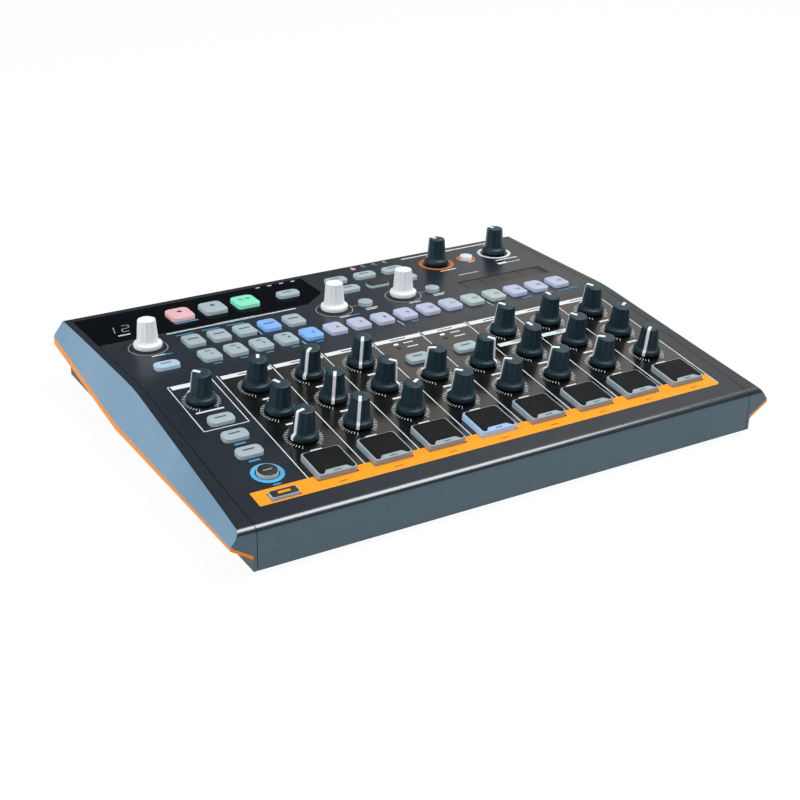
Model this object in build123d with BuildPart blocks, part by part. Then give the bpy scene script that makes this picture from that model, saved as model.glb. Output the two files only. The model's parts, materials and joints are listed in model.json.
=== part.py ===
"""Table-top analogue drum machine: sheet-steel case, moulded side cheeks, knobs, pads and keys.

Frame: millimetres, +Z up, +X to the player's right, +Y away from the player.
The origin is on the table under the middle of the whole machine.
"""

import os
from math import cos, radians, sin, tan

from build123d import *

os.makedirs("parts", exist_ok=True)

# --- case -------------------------------------------------------------------------------
body_width = 370.0  # across the outer faces of the two side plates
body_depth = 295.0  # front face to rear edge
jack_proud = 3.6  # jack bushings stand this far behind the rear edge
foot_height = 3.5  # table to the lowest edge of the case
sheet = 1.2  # steel sheet of the tray and the top panel
lap_gap = 0.1  # between sheets that lap over one another
front_edge_height = 27.5  # panel surface above the case's lowest edge, at the front face
front_slope = 6.0  # degrees, the panel rises from the front to the fold
rear_slope = 1.4  # degrees, it falls gently from the fold to the back
fold_run = 165.8  # front face to fold
fold_radius = 180.0
front_edge_radius = 5.0
rear_edge_radius = 2.0
lip_depth = 12.0  # return lip under the front
rear_flange = 10.0  # flange of the top panel over the rear wall

# --- side cheeks and their coloured trims -----------------------------------------------
panel_half = 182.4  # half width of the top panel and the tray
cheek_inner = 182.8  # inner face of a cheek, leaving a fine seam beside the panel
side_face = body_width / 2
flare_front = 14.0  # widest edge beyond the side face, front to fold
flare_rear = 10.4
edge_height_front = 19.5  # height of the widest edge above the case's lowest edge
edge_height_rear = 31.8
edge_bend_run = 172.0  # front face to the place where the widest edge starts to climb
top_band_front = 8.3  # top band beyond the side face
top_band_rear = 3.0
trim_lip_front = 2.0  # height of the trim's upright face
trim_lip_rear = 6.2
under_drop = 9.5  # the trim's underside falls this much towards the side face
trim_wall = 1.8
trim_floor = 2.4
cheek_wall = 3.0
cheek_rib = 10.0
cheek_screw_runs = (66.0, 146.0, 226.0)  # front face to each cheek screw
cheek_end_inset = 1.0  # the cheeks stop this far short of the rear edge

# --- control grid, X from the centre line and run along the panel -------------------------
column_pitch = 38.17
first_column = -115.8
row_pitch = 32.2
bottom_row = 72.4
channel_count = 8
left_column = -153.7
pad_run = 39.5
pad_width = 26.4
pad_depth = 25.4
pad_height = 4.0

# rows on the rear panel, run measured from the fold
step_run = 20.8
step_pitch = 18.87
first_step = -125.3
step_count = 16
function_run = 48.5
function_pitch = 19.0
first_function = -124.8
function_count = 5
key_width = 13.1
key_depth = 16.8
key_corner = 2.6
encoder_run = 54.6
transport_run = 96.6
transport_pitch = 25.3
first_transport = -113.8
transport_width = 17.2
transport_depth = 18.8
grid_pill_pitch = (24.6, 19.6)
first_grid_pill = (14.5, 83.3)

# --- knobs ------------------------------------------------------------------------------
skirt_radius = 9.4
white_skirt_radius = 9.8
knob_waist_radius = 7.2
knob_top_radius = 6.0
white_waist_radius = 7.4
white_top_radius = 6.4
skirt_gap = 0.8  # skirt above the panel
knob_height = 20.0
skirt_rise = 4.6
shaft_radius = 3.0
bushing_radius = 3.5
bushing_hole_gap = 0.06  # running clearance of a shaft in its bushing
panel_knob_hole = 7.6

# --- buttons ----------------------------------------------------------------------------
key_proud = 3.0  # above the panel surface at rest
transport_proud = 3.2
pill_proud = 2.8
small_proud = 2.6
bank_proud = 2.2
button_clearance = 0.4
flange_width = 1.0
flange_thickness = 1.0
flange_gap = 0.3  # flange below the panel at rest
travel_room = 1.8
pill_width = 17.0
pill_depth = 10.0
pill_corner = 3.6
board_drop = 9.0  # panel surface to the control boards' upper face
board_thickness = 1.6

pad_flange_thickness = 1.5  # thicker than a key's
pad_corner = 2.4

# --- screws: M3 button heads throughout ---------------------------------------------------
screw_radius = 1.45
screw_pilot = 1.5
screw_clear = 1.7
screw_head_radius = 2.85
screw_head = 1.65
screw_head_round = 0.8
screw_hex_radius = 1.15
screw_hex_depth = 1.0
lip_screw_length = 4.0
flange_screw_length = 4.5
board_screw_length = 5.0
cheek_screw_length = 8.0
standoff_radius = 3.0

# --- rear sockets, height above the case's lowest edge -------------------------------------
big_jack_radius = 3.25
small_jack_radius = 1.8
big_jack_depth = 15.0
small_jack_depth = 11.0
jack_height = 16.0
big_bushing_radius = 4.5
small_bushing_radius = 3.0
jack_hole_gap = 0.1  # between a bushing and its hole in the rear wall
main_board_height = 5.2

# --- derived planes and heights -------------------------------------------------------------
front_y = -(body_depth + jack_proud) / 2
rear_y = front_y + body_depth
fold_y = front_y + fold_run
base_z = foot_height
front_z = base_z + front_edge_height
fold_z = front_z + fold_run * tan(radians(front_slope))
rear_z = fold_z - (body_depth - fold_run) * tan(radians(rear_slope))

FRONT = Plane(
    origin=(0, front_y, front_z),
    x_dir=(1, 0, 0),
    z_dir=(0, -sin(radians(front_slope)), cos(radians(front_slope))),
)
REAR = Plane(
    origin=(0, fold_y, fold_z),
    x_dir=(1, 0, 0),
    z_dir=(0, sin(radians(rear_slope)), cos(radians(rear_slope))),
)

# --- places of the controls ------------------------------------------------------------------
columns = [first_column + column_pitch * i for i in range(channel_count)]
rows = [bottom_row, bottom_row + row_pitch, bottom_row + 2 * row_pitch]
knobs_per_channel = (3, 3, 3, 2, 2, 3, 3, 3)

channel_knobs = {}
for channel, (x, count) in enumerate(zip(columns, knobs_per_channel), start=1):
    for row_name, run in zip(("level", "mid", "high")[:count], rows):
        channel_knobs[f"knob_{row_name}_{channel}"] = (x, run)

front_knobs = {**channel_knobs, "knob_metronome": (-155.0, 135.2)}
rear_dark_knobs = {"knob_drive": (101.6, 100.4), "knob_volume": (155.0, 100.0)}
encoders = {
    "encoder_tempo": (-155.0, encoder_run),
    "encoder_roll": (-13.2, encoder_run),
    "encoder_swing": (44.0, encoder_run),
}
pads = {f"pad_{i}": (x - 0.3, pad_run) for i, x in enumerate(columns, start=1)}

step_keys = [(first_step + step_pitch * i, step_run) for i in range(step_count)]
function_keys = [(first_function + function_pitch * i, function_run) for i in range(function_count)]
transport_keys = [(first_transport + transport_pitch * i, transport_run) for i in range(3)]
grid_pills = [
    (first_grid_pill[0] + grid_pill_pitch[0] * i, first_grid_pill[1] + grid_pill_pitch[1] * j)
    for i in range(3)
    for j in range(2)
]
tap_pill = (-156.5, 19.3)
window_pill = (-29.1, 96.1)
rear_pills = [tap_pill, window_pill, *grid_pills]
front_pills = [
    *((left_column, run) for run in (109.1, 89.3, 69.7)),
    *((x, 126.5) for x in (-1.1, 37.1)),
]
accent_button = (-153.0, 46.6)
bank_button = (-153.8, 23.6)
bank_size = (18.0, 7.4)
bank_corner = 1.0
small_rounds = [(11.4, 53.2), (68.4, 53.4)]
drive_switch = (128.4, 99.6)
accent_radius = 6.7
small_round_radius = 5.3
drive_switch_radius = 4.8
front_leds = [(x, run) for x in (-5.0, 32.2) for run in (149.0, 144.3)]
window_leds = [(-41.6 + 9.6 * i, 121.4) for i in range(4)]
rear_leds = [(39.6 + 9.6 * i, 120.6) for i in range(4)]
led_size = (3.6, 1.8)
led_corner = 0.5

window_outline = [(-182.5, 73.2), (-24.6, 73.2), (-4.8, 89.2), (-4.8, 122.6), (-182.5, 122.6)]
window_flange = 1.6
display_centre = (-146.0, 98.4)
display_size = (41.4, 17.0)
touch_centre = (130.6, 50.6)
touch_size = (73.6, 15.6)
touch_corner = 1.0
touch_recess = 0.5


def case_profile(inset=0.0):
    """Side view of the case, drawn on the YZ plane and set in from its outer faces."""
    with BuildSketch(Plane.YZ) as profile:
        with BuildLine():
            Polyline(
                (front_y, base_z),
                (front_y, front_z),
                (fold_y, fold_z),
                (rear_y, rear_z),
                (rear_y, base_z),
                close=True,
            )
        make_face()
        # in the sketch's own frame, x is the case's Y and y its Z
        upper = profile.vertices().filter_by(lambda v: v.Y > base_z + 1)
        front_corner, fold_corner, rear_corner = upper.sort_by(Axis.X)
        fillet(front_corner, front_edge_radius)
        fillet(profile.vertices().sort_by_distance(fold_corner.center())[0], fold_radius)
        fillet(profile.vertices().sort_by_distance(rear_corner.center())[0], rear_edge_radius)
        if inset:
            offset(amount=-inset, mode=Mode.REPLACE)
    return profile.sketch_local


def finish(part, name):
    """Label a finished piece and write its file."""
    part.label = name
    export_step(part, f"parts/{name}.step")


def rounded(width, depth, corner, places):
    """Rounded rectangles at the given places, for a sketch."""
    with Locations(*places):
        RectangleRounded(width, depth, corner)


def discs(radius, places):
    """Circles at the given places, for a sketch."""
    with Locations(*places):
        Circle(radius)


# --- top panel: one bent steel sheet with every control opening -----------------------------
grow = 2 * button_clearance
cut_above = 1.0  # a cut through a sheet starts this far outside it
cut_depth = 5.0
screw_columns = (-150.0, -50.0, 50.0, 150.0)
lip_screw_run = 7.0
flange_screw_drop = 6.0
lip_screws = [(x, front_y + lip_screw_run) for x in screw_columns]
flange_screws = [(x, rear_z - flange_screw_drop) for x in screw_columns]

with BuildPart() as top_panel:
    with BuildSketch(Plane.YZ):
        add(case_profile())
        add(case_profile(sheet), mode=Mode.SUBTRACT)
        with Locations((front_y + lip_depth + body_depth / 2, base_z)):
            Rectangle(body_depth, 2 * cut_depth, mode=Mode.SUBTRACT)
        with Locations((rear_y, base_z + (rear_z - base_z - rear_flange) / 2)):
            Rectangle(2 * cut_depth, rear_z - base_z - rear_flange, mode=Mode.SUBTRACT)
    extrude(amount=panel_half, both=True)
    with BuildSketch(FRONT.offset(cut_above)):
        discs(panel_knob_hole / 2, front_knobs.values())
        rounded(pad_width + grow, pad_depth + grow, pad_corner, pads.values())
        rounded(pill_width + grow, pill_depth + grow, pill_corner, front_pills)
        rounded(bank_size[0] + grow, bank_size[1] + grow, bank_corner, [bank_button])
        discs(accent_radius + button_clearance, [accent_button])
        rounded(*led_size, led_corner, front_leds)
    extrude(amount=-cut_depth, mode=Mode.SUBTRACT)
    with BuildSketch(REAR.offset(cut_above)):
        discs(panel_knob_hole / 2, [*rear_dark_knobs.values(), *encoders.values()])
        rounded(key_width + grow, key_depth + grow, key_corner, step_keys + function_keys)
        rounded(pill_width + grow, pill_depth + grow, pill_corner, [rear_pills[0], *grid_pills])
        discs(small_round_radius + button_clearance, small_rounds)
        discs(drive_switch_radius + button_clearance, [drive_switch])
        rounded(*led_size, led_corner, rear_leds)
        rounded(*touch_size, touch_corner, [touch_centre])
        with BuildLine():
            Polyline(*window_outline, close=True)
        make_face()
    extrude(amount=-cut_depth, mode=Mode.SUBTRACT)
    # clearance holes for the screws through the front lip and the rear flange
    with BuildSketch(Plane.XY.offset(base_z - cut_above)):
        discs(screw_clear, lip_screws)
    extrude(amount=sheet + 2 * cut_above, mode=Mode.SUBTRACT)
    with BuildSketch(Plane.XZ.offset(-rear_y - cut_above)):
        discs(screw_clear, flange_screws)
    extrude(amount=sheet + 2 * cut_above, mode=Mode.SUBTRACT)
finish(top_panel.part, "top_panel")

# --- base tray: floor, rear wall and side walls in one folded sheet ------------------------------
tray_z = base_z + sheet + lap_gap
wall_y = rear_y - sheet - lap_gap
board_z = base_z + main_board_height  # underside of the main board
socket_z = board_z + board_thickness  # its upper face, where the sockets stand
din_height = 17.5  # socket and button axes above the case's lowest edge
power_height = 15.0
board_socket_rise = 5.7  # axis of a board-mounted socket above the board
big_jacks = [(x, base_z + jack_height) for x in (-60.0, -84.0)]
small_jacks = [(x, base_z + jack_height) for x in (-20.0, -4.0, 12.0, 28.0)]
din_places = [(x, base_z + din_height) for x in (62.0, 86.0)]
usb_place = (114.0, socket_z + board_socket_rise)
dc_place = (138.0, socket_z + board_socket_rise)
power_place = (160.0, base_z + power_height)
din_radius = 7.5
usb_opening = (12.4, 11.4)
dc_opening = (9.4, 11.4)
socket_corner = 0.5
power_size = 8.0
power_corner = 1.0
foot_x = 158.0
foot_inset = 26.0  # from the front face and the rear edge
foot_places = [(x, y) for x in (-foot_x, foot_x) for y in (front_y + foot_inset, rear_y - foot_inset)]
standoffs = [(x, rear_y - inset) for x in (-120.0, 150.0) for inset in (85.0, 30.0)]
cheek_screw_height = 22.0
cheek_screws = [(front_y + run, base_z + cheek_screw_height) for run in cheek_screw_runs]

with BuildPart() as base_tray:
    with BuildSketch(Plane.YZ.offset(panel_half)):
        add(case_profile(sheet + lap_gap))
    extrude(amount=-sheet)
    mirror(about=Plane.YZ)
    with BuildSketch(Plane.XY.offset(tray_z)):
        with Locations((0, (front_y + wall_y) / 2 + sheet / 2)):
            Rectangle(2 * panel_half, wall_y - front_y - sheet - 2 * lap_gap)
    extrude(amount=sheet)
    with BuildSketch(Plane.XZ.offset(-wall_y)):
        with Locations((0, (tray_z + rear_z - 2 * sheet) / 2)):
            Rectangle(2 * panel_half, rear_z - 2 * sheet - tray_z)
    extrude(amount=sheet)
    with BuildSketch(Plane.XY.offset(tray_z + sheet)):
        discs(standoff_radius, standoffs)
    extrude(amount=board_z - tray_z - sheet)
    with BuildSketch(Plane.XY.offset(tray_z - cut_above)):
        discs(screw_pilot, standoffs + lip_screws)
    extrude(amount=2 * cut_depth, mode=Mode.SUBTRACT)
    with BuildSketch(Plane.YZ):
        discs(screw_clear, cheek_screws)
    extrude(amount=panel_half + cut_above, both=True, mode=Mode.SUBTRACT)
    # openings of the rear wall
    with BuildSketch(Plane.XZ.offset(-wall_y - cut_above)):
        discs(screw_pilot, flange_screws)
        discs(big_bushing_radius + jack_hole_gap, big_jacks)
        discs(small_bushing_radius + jack_hole_gap, small_jacks)
        discs(din_radius + jack_hole_gap, din_places)
        rounded(*usb_opening, socket_corner, [usb_place])
        rounded(*dc_opening, socket_corner, [dc_place])
        rounded(power_size + grow, power_size + grow, power_corner, [power_place])
    extrude(amount=sheet + 2 * cut_above, mode=Mode.SUBTRACT)
finish(base_tray.part, "base_tray")


# --- side cheeks: moulded plastic, hollowed towards the tray, with a coloured trim below ---------
rear_run = body_depth - cheek_end_inset
cheek_over = 4.0  # the outline is drawn this far past the panel surface
cheek_span = 40.0  # wider than a whole cheek
cheek_pilot_depth = 8.0
pocket_end_wall = 8.0
pocket_edge_rise = 1.0  # the hollow's outer corner above the widest edge


def lerp(run, start, end, low, high):
    """Straight-line value at a run between two stations, held constant outside them."""
    share = min(max((run - start) / (end - start), 0), 1)
    return low + (high - low) * share


def panel_height(run):
    """Height of the unrounded panel surface above the table."""
    if run < fold_run:
        return front_z + run * tan(radians(front_slope))
    return fold_z - (run - fold_run) * tan(radians(rear_slope))


def cheek_lines(run):
    """Edge X, edge Z, lip Z and root Z of the cheek's flare, and the X of its top edge."""
    edge_x = side_face + lerp(run, edge_bend_run, rear_run, flare_front, flare_rear)
    edge_z = base_z + lerp(run, edge_bend_run, rear_run, edge_height_front, edge_height_rear)
    lip_z = edge_z - lerp(run, 0, rear_run, trim_lip_front, trim_lip_rear)
    top_x = side_face + lerp(run, 0, fold_run, top_band_front, top_band_rear)
    return edge_x, edge_z, lip_z, lip_z - under_drop, top_x


def cheek_section(run):
    """Cheek outline: side plate and flare, drawn past the panel surface and cut by it later."""
    edge_x, edge_z, lip_z, root_z, top_x = cheek_lines(run)
    top_z = panel_height(run)
    over_x = top_x - cheek_over * (edge_x - top_x) / (top_z - edge_z)
    return [
        (cheek_inner, base_z),
        (cheek_inner, top_z + cheek_over),
        (over_x, top_z + cheek_over),
        (edge_x, edge_z),
        (edge_x - trim_wall, edge_z),
        (edge_x - trim_wall, lip_z + trim_wall / 2),
        (side_face, root_z + trim_floor),
        (side_face, base_z),
    ]


def trim_section(run):
    """Trim outline: upright lip at the widest edge and a sloping underside."""
    edge_x, edge_z, lip_z, root_z, _ = cheek_lines(run)
    return [
        (edge_x, edge_z),
        (edge_x, lip_z),
        (side_face, root_z),
        (side_face, root_z + trim_floor),
        (edge_x - trim_wall, lip_z + trim_wall / 2),
        (edge_x - trim_wall, edge_z),
    ]


def pocket_section(run):
    """Outline of the hollow behind the flare, open towards the tray."""
    edge_x, edge_z, _, root_z, top_x = cheek_lines(run)
    top_z = panel_height(run) - cheek_wall
    return [
        (cheek_inner - cut_above, root_z + trim_floor + cheek_wall),
        (cheek_inner - cut_above, top_z),
        (top_x - cheek_wall, top_z),
        (edge_x - 2 * cheek_wall, edge_z + pocket_edge_rise),
    ]


def ruled_solid(section, runs):
    """Ruled body through the same outline drawn at several runs from the front face."""
    with BuildPart() as body:
        for run in runs:
            with BuildSketch(Plane.XZ.offset(-front_y - run)):
                with BuildLine():
                    Polyline(*section(run), close=True)
                make_face()
        loft(ruled=True)
    return body.part


cheek_stations = [0, edge_bend_run, rear_run]
pocket_stations = [pocket_end_wall, edge_bend_run, rear_run - pocket_end_wall]
cheek_body = ruled_solid(cheek_section, cheek_stations)
pocket_body = ruled_solid(pocket_section, pocket_stations)

with BuildPart() as right_cheek:
    add(cheek_body)
    with BuildSketch(Plane.YZ.offset(cheek_inner - cut_above)):
        add(case_profile())
    extrude(amount=cheek_span, mode=Mode.INTERSECT)
    # ribs across the hollow take the cheek screws
    with BuildPart(mode=Mode.SUBTRACT):
        add(pocket_body)
        with Locations(*((side_face, y, z) for y, z in cheek_screws)):
            Box(cheek_span, cheek_rib, 2 * cheek_span, mode=Mode.SUBTRACT)
    with BuildSketch(Plane.YZ.offset(cheek_inner - cut_above)):
        discs(screw_pilot, cheek_screws)
    extrude(amount=cheek_pilot_depth + cut_above, mode=Mode.SUBTRACT)
finish(right_cheek.part, "right_cheek")

with BuildPart() as left_cheek:
    mirror(right_cheek.part, about=Plane.YZ)
finish(left_cheek.part, "left_cheek")

with BuildPart() as side_trims:
    add(ruled_solid(trim_section, cheek_stations))
    mirror(about=Plane.YZ)
finish(side_trims.part, "side_trims")

# --- display window: gloss sheet flush with the panel, on a ledge under it -----------------------
window_gap = 0.1  # around the sheet in its opening
ledge = 1.0  # thickness of the ledge glued under the panel
board_face = -board_drop

with BuildPart() as display_window:
    with BuildSketch(REAR.offset(-sheet)):
        with BuildLine():
            Polyline(*window_outline, close=True)
        window_face = make_face()
        offset(amount=window_flange, kind=Kind.INTERSECTION)
        offset(window_face, amount=-window_flange, kind=Kind.INTERSECTION, mode=Mode.SUBTRACT)
        with Locations((-panel_half + sheet + 2 * lap_gap, 0)):
            Rectangle(2 * cut_depth, body_depth, align=(Align.MAX, Align.CENTER), mode=Mode.SUBTRACT)
    extrude(amount=-ledge)
    with BuildSketch(REAR.offset(-sheet)):
        with BuildLine():
            Polyline(*window_outline, close=True)
        make_face()
        offset(amount=-window_gap, kind=Kind.INTERSECTION)
    extrude(amount=sheet)
    with BuildSketch(REAR.offset(cut_above)):
        rounded(transport_width + grow, transport_depth + grow, key_corner, transport_keys)
        rounded(pill_width + grow, pill_depth + grow, pill_corner, [window_pill])
    extrude(amount=-cut_depth, mode=Mode.SUBTRACT)
finish(display_window.part, "display_window")

# --- display module: four-digit seven-segment block close under the window ------------------------
display_gap = 0.3  # under the window sheet
display_top = -sheet - display_gap
digit_size = (8.0, 12.7)
digit_recess = 0.4
with BuildPart() as display_module:
    with BuildSketch(REAR.offset(board_face)):
        with Locations(display_centre):
            Rectangle(*display_size)
    extrude(amount=display_top - board_face)
    with BuildSketch(REAR.offset(display_top)):
        with Locations(display_centre):
            with GridLocations(display_size[0] / 4, 1, 4, 1):
                Rectangle(*digit_size)
    extrude(amount=-digit_recess, mode=Mode.SUBTRACT)
finish(display_module.part, "display_module")

# --- touch strip: a matt sensor plate sunk into its opening, with a ledge under the panel ---------
touch_gap = 0.1
touch_ledge = 1.5  # width of the ledge round the opening
with BuildPart() as touch_strip:
    with BuildSketch(REAR.offset(-touch_recess)):
        rounded(touch_size[0] - 2 * touch_gap, touch_size[1] - 2 * touch_gap, touch_corner, [touch_centre])
    extrude(amount=touch_recess - sheet)
    with BuildSketch(REAR.offset(-sheet)):
        ledge_width = touch_size[0] + 2 * touch_ledge
        ledge_depth = touch_size[1] + 2 * touch_ledge
        rounded(ledge_width, ledge_depth, touch_ledge, [touch_centre])
    extrude(amount=-ledge)
finish(touch_strip.part, "touch_strip")

# --- indicator light pipes on the control boards; those of the display end under the window -------
pipe_gap = 0.15
pipe_width = led_size[0] - 2 * pipe_gap
pipe_depth = led_size[1] - 2 * pipe_gap
with BuildPart() as indicator_lights:
    for plane, top, places in (
        (FRONT, pipe_gap, front_leds),
        (REAR, pipe_gap, rear_leds),
        (REAR, -sheet - ledge - pipe_gap, window_leds),
    ):
        with BuildSketch(plane.offset(board_face)):
            rounded(pipe_width, pipe_depth, led_corner, places)
        extrude(amount=top - board_face)
finish(indicator_lights.part, "indicator_lights")

# --- control boards: one under the front slope, one under the rear field --------------------------
board_half = 178.0
control_board_spans = ((FRONT, 15.0, 153.0), (REAR, 7.0, 125.0))
with BuildPart() as control_boards:
    for plane, start, end in control_board_spans:
        with BuildSketch(plane.offset(board_face)):
            with Locations((0, (start + end) / 2)):
                Rectangle(2 * board_half, end - start)
        extrude(amount=-board_thickness)
finish(control_boards.part, "control_boards")

# --- potentiometers and encoders: case on the board, collar under the panel, nut above it ---------
rotary_case = (9.8, 11.4)
rotary_top = -2.6  # upper face of the case, below the panel surface
collar_radius = 5.0
bushing_top = 2.4
nut_radius = 5.2
nut_height = 1.8
all_knobs = ((FRONT, front_knobs), (REAR, {**rear_dark_knobs, **encoders}))
with BuildPart() as rotary_bodies:
    for plane, knob_places in all_knobs:
        places = knob_places.values()
        with BuildSketch(plane.offset(board_face)):
            with Locations(*places):
                Rectangle(*rotary_case)
        extrude(amount=rotary_top - board_face)
        with BuildSketch(plane.offset(rotary_top)):
            discs(collar_radius, places)
        extrude(amount=-sheet - rotary_top)
        with BuildSketch(plane.offset(rotary_top)):
            discs(bushing_radius, places)
        extrude(amount=bushing_top - rotary_top)
        with BuildSketch(plane):
            with Locations(*places):
                RegularPolygon(nut_radius, 6)
        extrude(amount=nut_height)
        with BuildSketch(plane.offset(rotary_top)):
            discs(shaft_radius + bushing_hole_gap, places)
        extrude(amount=bushing_top - rotary_top, mode=Mode.SUBTRACT)
finish(rotary_bodies.part, "rotary_bodies")

# --- switches: one under every key and pad, and the latching supply switch on the main board ------
front_buttons = [*front_pills, accent_button, bank_button, *pads.values()]
rear_buttons = [*step_keys, *function_keys, *transport_keys, *rear_pills, *small_rounds, drive_switch]
key_bottom = -sheet - flange_gap - flange_thickness  # lowest point of a button at rest
plunger_top = key_bottom - travel_room
plunger_height = 0.6
plunger_radius = 1.75
switch_width = 6.0
power_travel = 2.0
power_switch_case = (10.0, 12.0, 12.0)
power_flange_y = wall_y - sheet - flange_gap - flange_thickness
power_switch_y = power_flange_y - power_travel - flange_gap
with BuildPart() as key_switches:
    for plane, places in ((FRONT, front_buttons), (REAR, rear_buttons)):
        with BuildSketch(plane.offset(board_face)):
            with Locations(*places):
                Rectangle(switch_width, switch_width)
        extrude(amount=plunger_top - plunger_height - board_face)
        with BuildSketch(plane.offset(plunger_top - plunger_height)):
            discs(plunger_radius, places)
        extrude(amount=plunger_height)
    with Locations((power_place[0], power_switch_y, socket_z)):
        Box(*power_switch_case, align=(Align.CENTER, Align.MAX, Align.MIN))
finish(key_switches.part, "key_switches")

# --- main board on its standoffs, with three large chips ------------------------------------------
main_board_x = (-128.0, 174.0)
main_board_y = (rear_y - 94.0, wall_y - sheet - 1.0)
chip_size = 20.0
chip_corner = 0.5
chip_height = 1.6
chip_places = [(-40.0, rear_y - 60.0), (20.0, rear_y - 62.0), (84.0, rear_y - 60.0)]
with BuildPart() as main_board:
    with BuildSketch(Plane.XY.offset(board_z)):
        with Locations((sum(main_board_x) / 2, sum(main_board_y) / 2)):
            Rectangle(main_board_x[1] - main_board_x[0], main_board_y[1] - main_board_y[0])
        with Locations(*standoffs):
            Circle(screw_clear, mode=Mode.SUBTRACT)
    extrude(amount=board_thickness)
    with BuildSketch(Plane.XY.offset(socket_z)):
        rounded(chip_size, chip_size, chip_corner, chip_places)
    extrude(amount=chip_height)
finish(main_board.part, "main_board")

# --- signal jacks: case on the main board, bushing through the rear wall, nut outside -------------
inner_wall_y = wall_y - sheet
jack_end_y = rear_y + jack_proud
big_nut_radius = 7.2
small_nut_radius = 4.6
big_nut_depth = 2.5
small_nut_depth = 2.0
big_case = (16.0, 20.0)  # width along X and depth along Y
small_case = (10.0, 14.0)
case_over_bushing = 3.0  # a jack's case stands this far above its bushing
jack_kinds = (
    (
        big_jacks, big_case, big_bushing_radius,
        big_nut_radius, big_nut_depth,
        big_jack_radius, big_jack_depth,
    ),
    (
        small_jacks, small_case, small_bushing_radius,
        small_nut_radius, small_nut_depth,
        small_jack_radius, small_jack_depth,
    ),
)
with BuildPart() as signal_jacks:
    for places, case, bushing, nut, nut_depth, bore, bore_depth in jack_kinds:
        case_height = jack_height + base_z - socket_z + bushing + case_over_bushing
        with Locations(*((x, inner_wall_y, socket_z) for x, _ in places)):
            Box(*case, case_height, align=(Align.CENTER, Align.MAX, Align.MIN))
        with BuildSketch(Plane.XZ.offset(-inner_wall_y)):
            discs(bushing, places)
        extrude(amount=inner_wall_y - jack_end_y)
        with BuildSketch(Plane.XZ.offset(-wall_y)):
            with Locations(*places):
                RegularPolygon(nut, 6)
        extrude(amount=-nut_depth)
        with BuildSketch(Plane.XZ.offset(-jack_end_y)):
            discs(bore, places)
        extrude(amount=bore_depth, mode=Mode.SUBTRACT)
finish(signal_jacks.part, "signal_jacks")

# --- data and supply sockets ----------------------------------------------------------------------
din_case = (20.0, 14.0, 19.0)  # width, depth and height
din_proud = 0.5
din_slot_radii = (6.8, 5.2)
din_contact_count = 5
din_contact_circle = 3.5
din_contact_radius = 0.9
din_contact_step = 45.0  # degrees from one contact hole to the next
din_bore_depth = 8.0
usb_shell = (12.0, 16.0, 11.0)
usb_mouth = (8.5, 7.8)
usb_tongue = (5.6, 3.2)
dc_case = (9.0, 14.0, 11.0)
dc_mouth_radius = 3.1
dc_pin_radius = 1.05
board_socket_depth = 9.0
din_face_y = wall_y + din_proud
with BuildPart() as data_power_sockets:
    # round data sockets: shell slot round a plug face with contact holes on half a circle
    with Locations(*((x, inner_wall_y, socket_z) for x, _ in din_places)):
        Box(*din_case, align=(Align.CENTER, Align.MAX, Align.MIN))
    with BuildSketch(Plane.XZ.offset(-inner_wall_y)):
        discs(din_radius, din_places)
    extrude(amount=inner_wall_y - din_face_y)
    with BuildSketch(Plane.XZ.offset(-din_face_y)):
        with Locations(*din_places):
            Circle(din_slot_radii[0])
            Circle(din_slot_radii[1], mode=Mode.SUBTRACT)
            contact_sweep = din_contact_count * din_contact_step
            with PolarLocations(din_contact_circle, din_contact_count, 0, contact_sweep, rotate=False):
                Circle(din_contact_radius)
    extrude(amount=din_bore_depth, mode=Mode.SUBTRACT)
    # square data socket: shell with its contact tongue
    with Locations((usb_place[0], wall_y, usb_place[1])):
        Box(*usb_shell, align=(Align.CENTER, Align.MAX, Align.CENTER))
    with BuildSketch(Plane.XZ.offset(-wall_y)):
        with Locations(usb_place):
            Rectangle(*usb_mouth)
            Rectangle(*usb_tongue, mode=Mode.SUBTRACT)
    extrude(amount=board_socket_depth, mode=Mode.SUBTRACT)
    # supply socket: round mouth with a centre pin
    with Locations((dc_place[0], wall_y, dc_place[1])):
        Box(*dc_case, align=(Align.CENTER, Align.MAX, Align.CENTER))
    with BuildSketch(Plane.XZ.offset(-wall_y)):
        with Locations(dc_place):
            Circle(dc_mouth_radius)
            Circle(dc_pin_radius, mode=Mode.SUBTRACT)
    extrude(amount=board_socket_depth, mode=Mode.SUBTRACT)
finish(data_power_sockets.part, "data_power_sockets")

# --- rubber feet ----------------------------------------------------------------------------------
foot_radius = 8.0
foot_chamfer = 0.8
tolerance = 0.01  # for picking edges and faces by their place
with BuildPart() as rubber_feet:
    with BuildSketch():
        discs(foot_radius, foot_places)
    extrude(amount=tray_z)
    bottom_edges = rubber_feet.edges().filter_by_position(Axis.Z, -tolerance, tolerance)
    chamfer(bottom_edges, foot_chamfer)
finish(rubber_feet.part, "rubber_feet")


# --- case screws, all M3 with button heads --------------------------------------------------------
def screw(seat, length):
    """Screw with its head's underside on a plane, the shank pointing against the plane's normal."""
    with BuildPart() as body:
        with BuildSketch(seat):
            Circle(screw_head_radius)
        extrude(amount=screw_head)
        head_face = body.faces().sort_by_distance(seat.origin + seat.z_dir * screw_head)[0]
        fillet(head_face.edges(), screw_head_round)
        with BuildSketch(seat):
            Circle(screw_radius)
        extrude(amount=-length)
        with BuildSketch(seat.offset(screw_head)):
            RegularPolygon(screw_hex_radius, 6)
        extrude(amount=-screw_hex_depth, mode=Mode.SUBTRACT)
    return body.part


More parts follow.
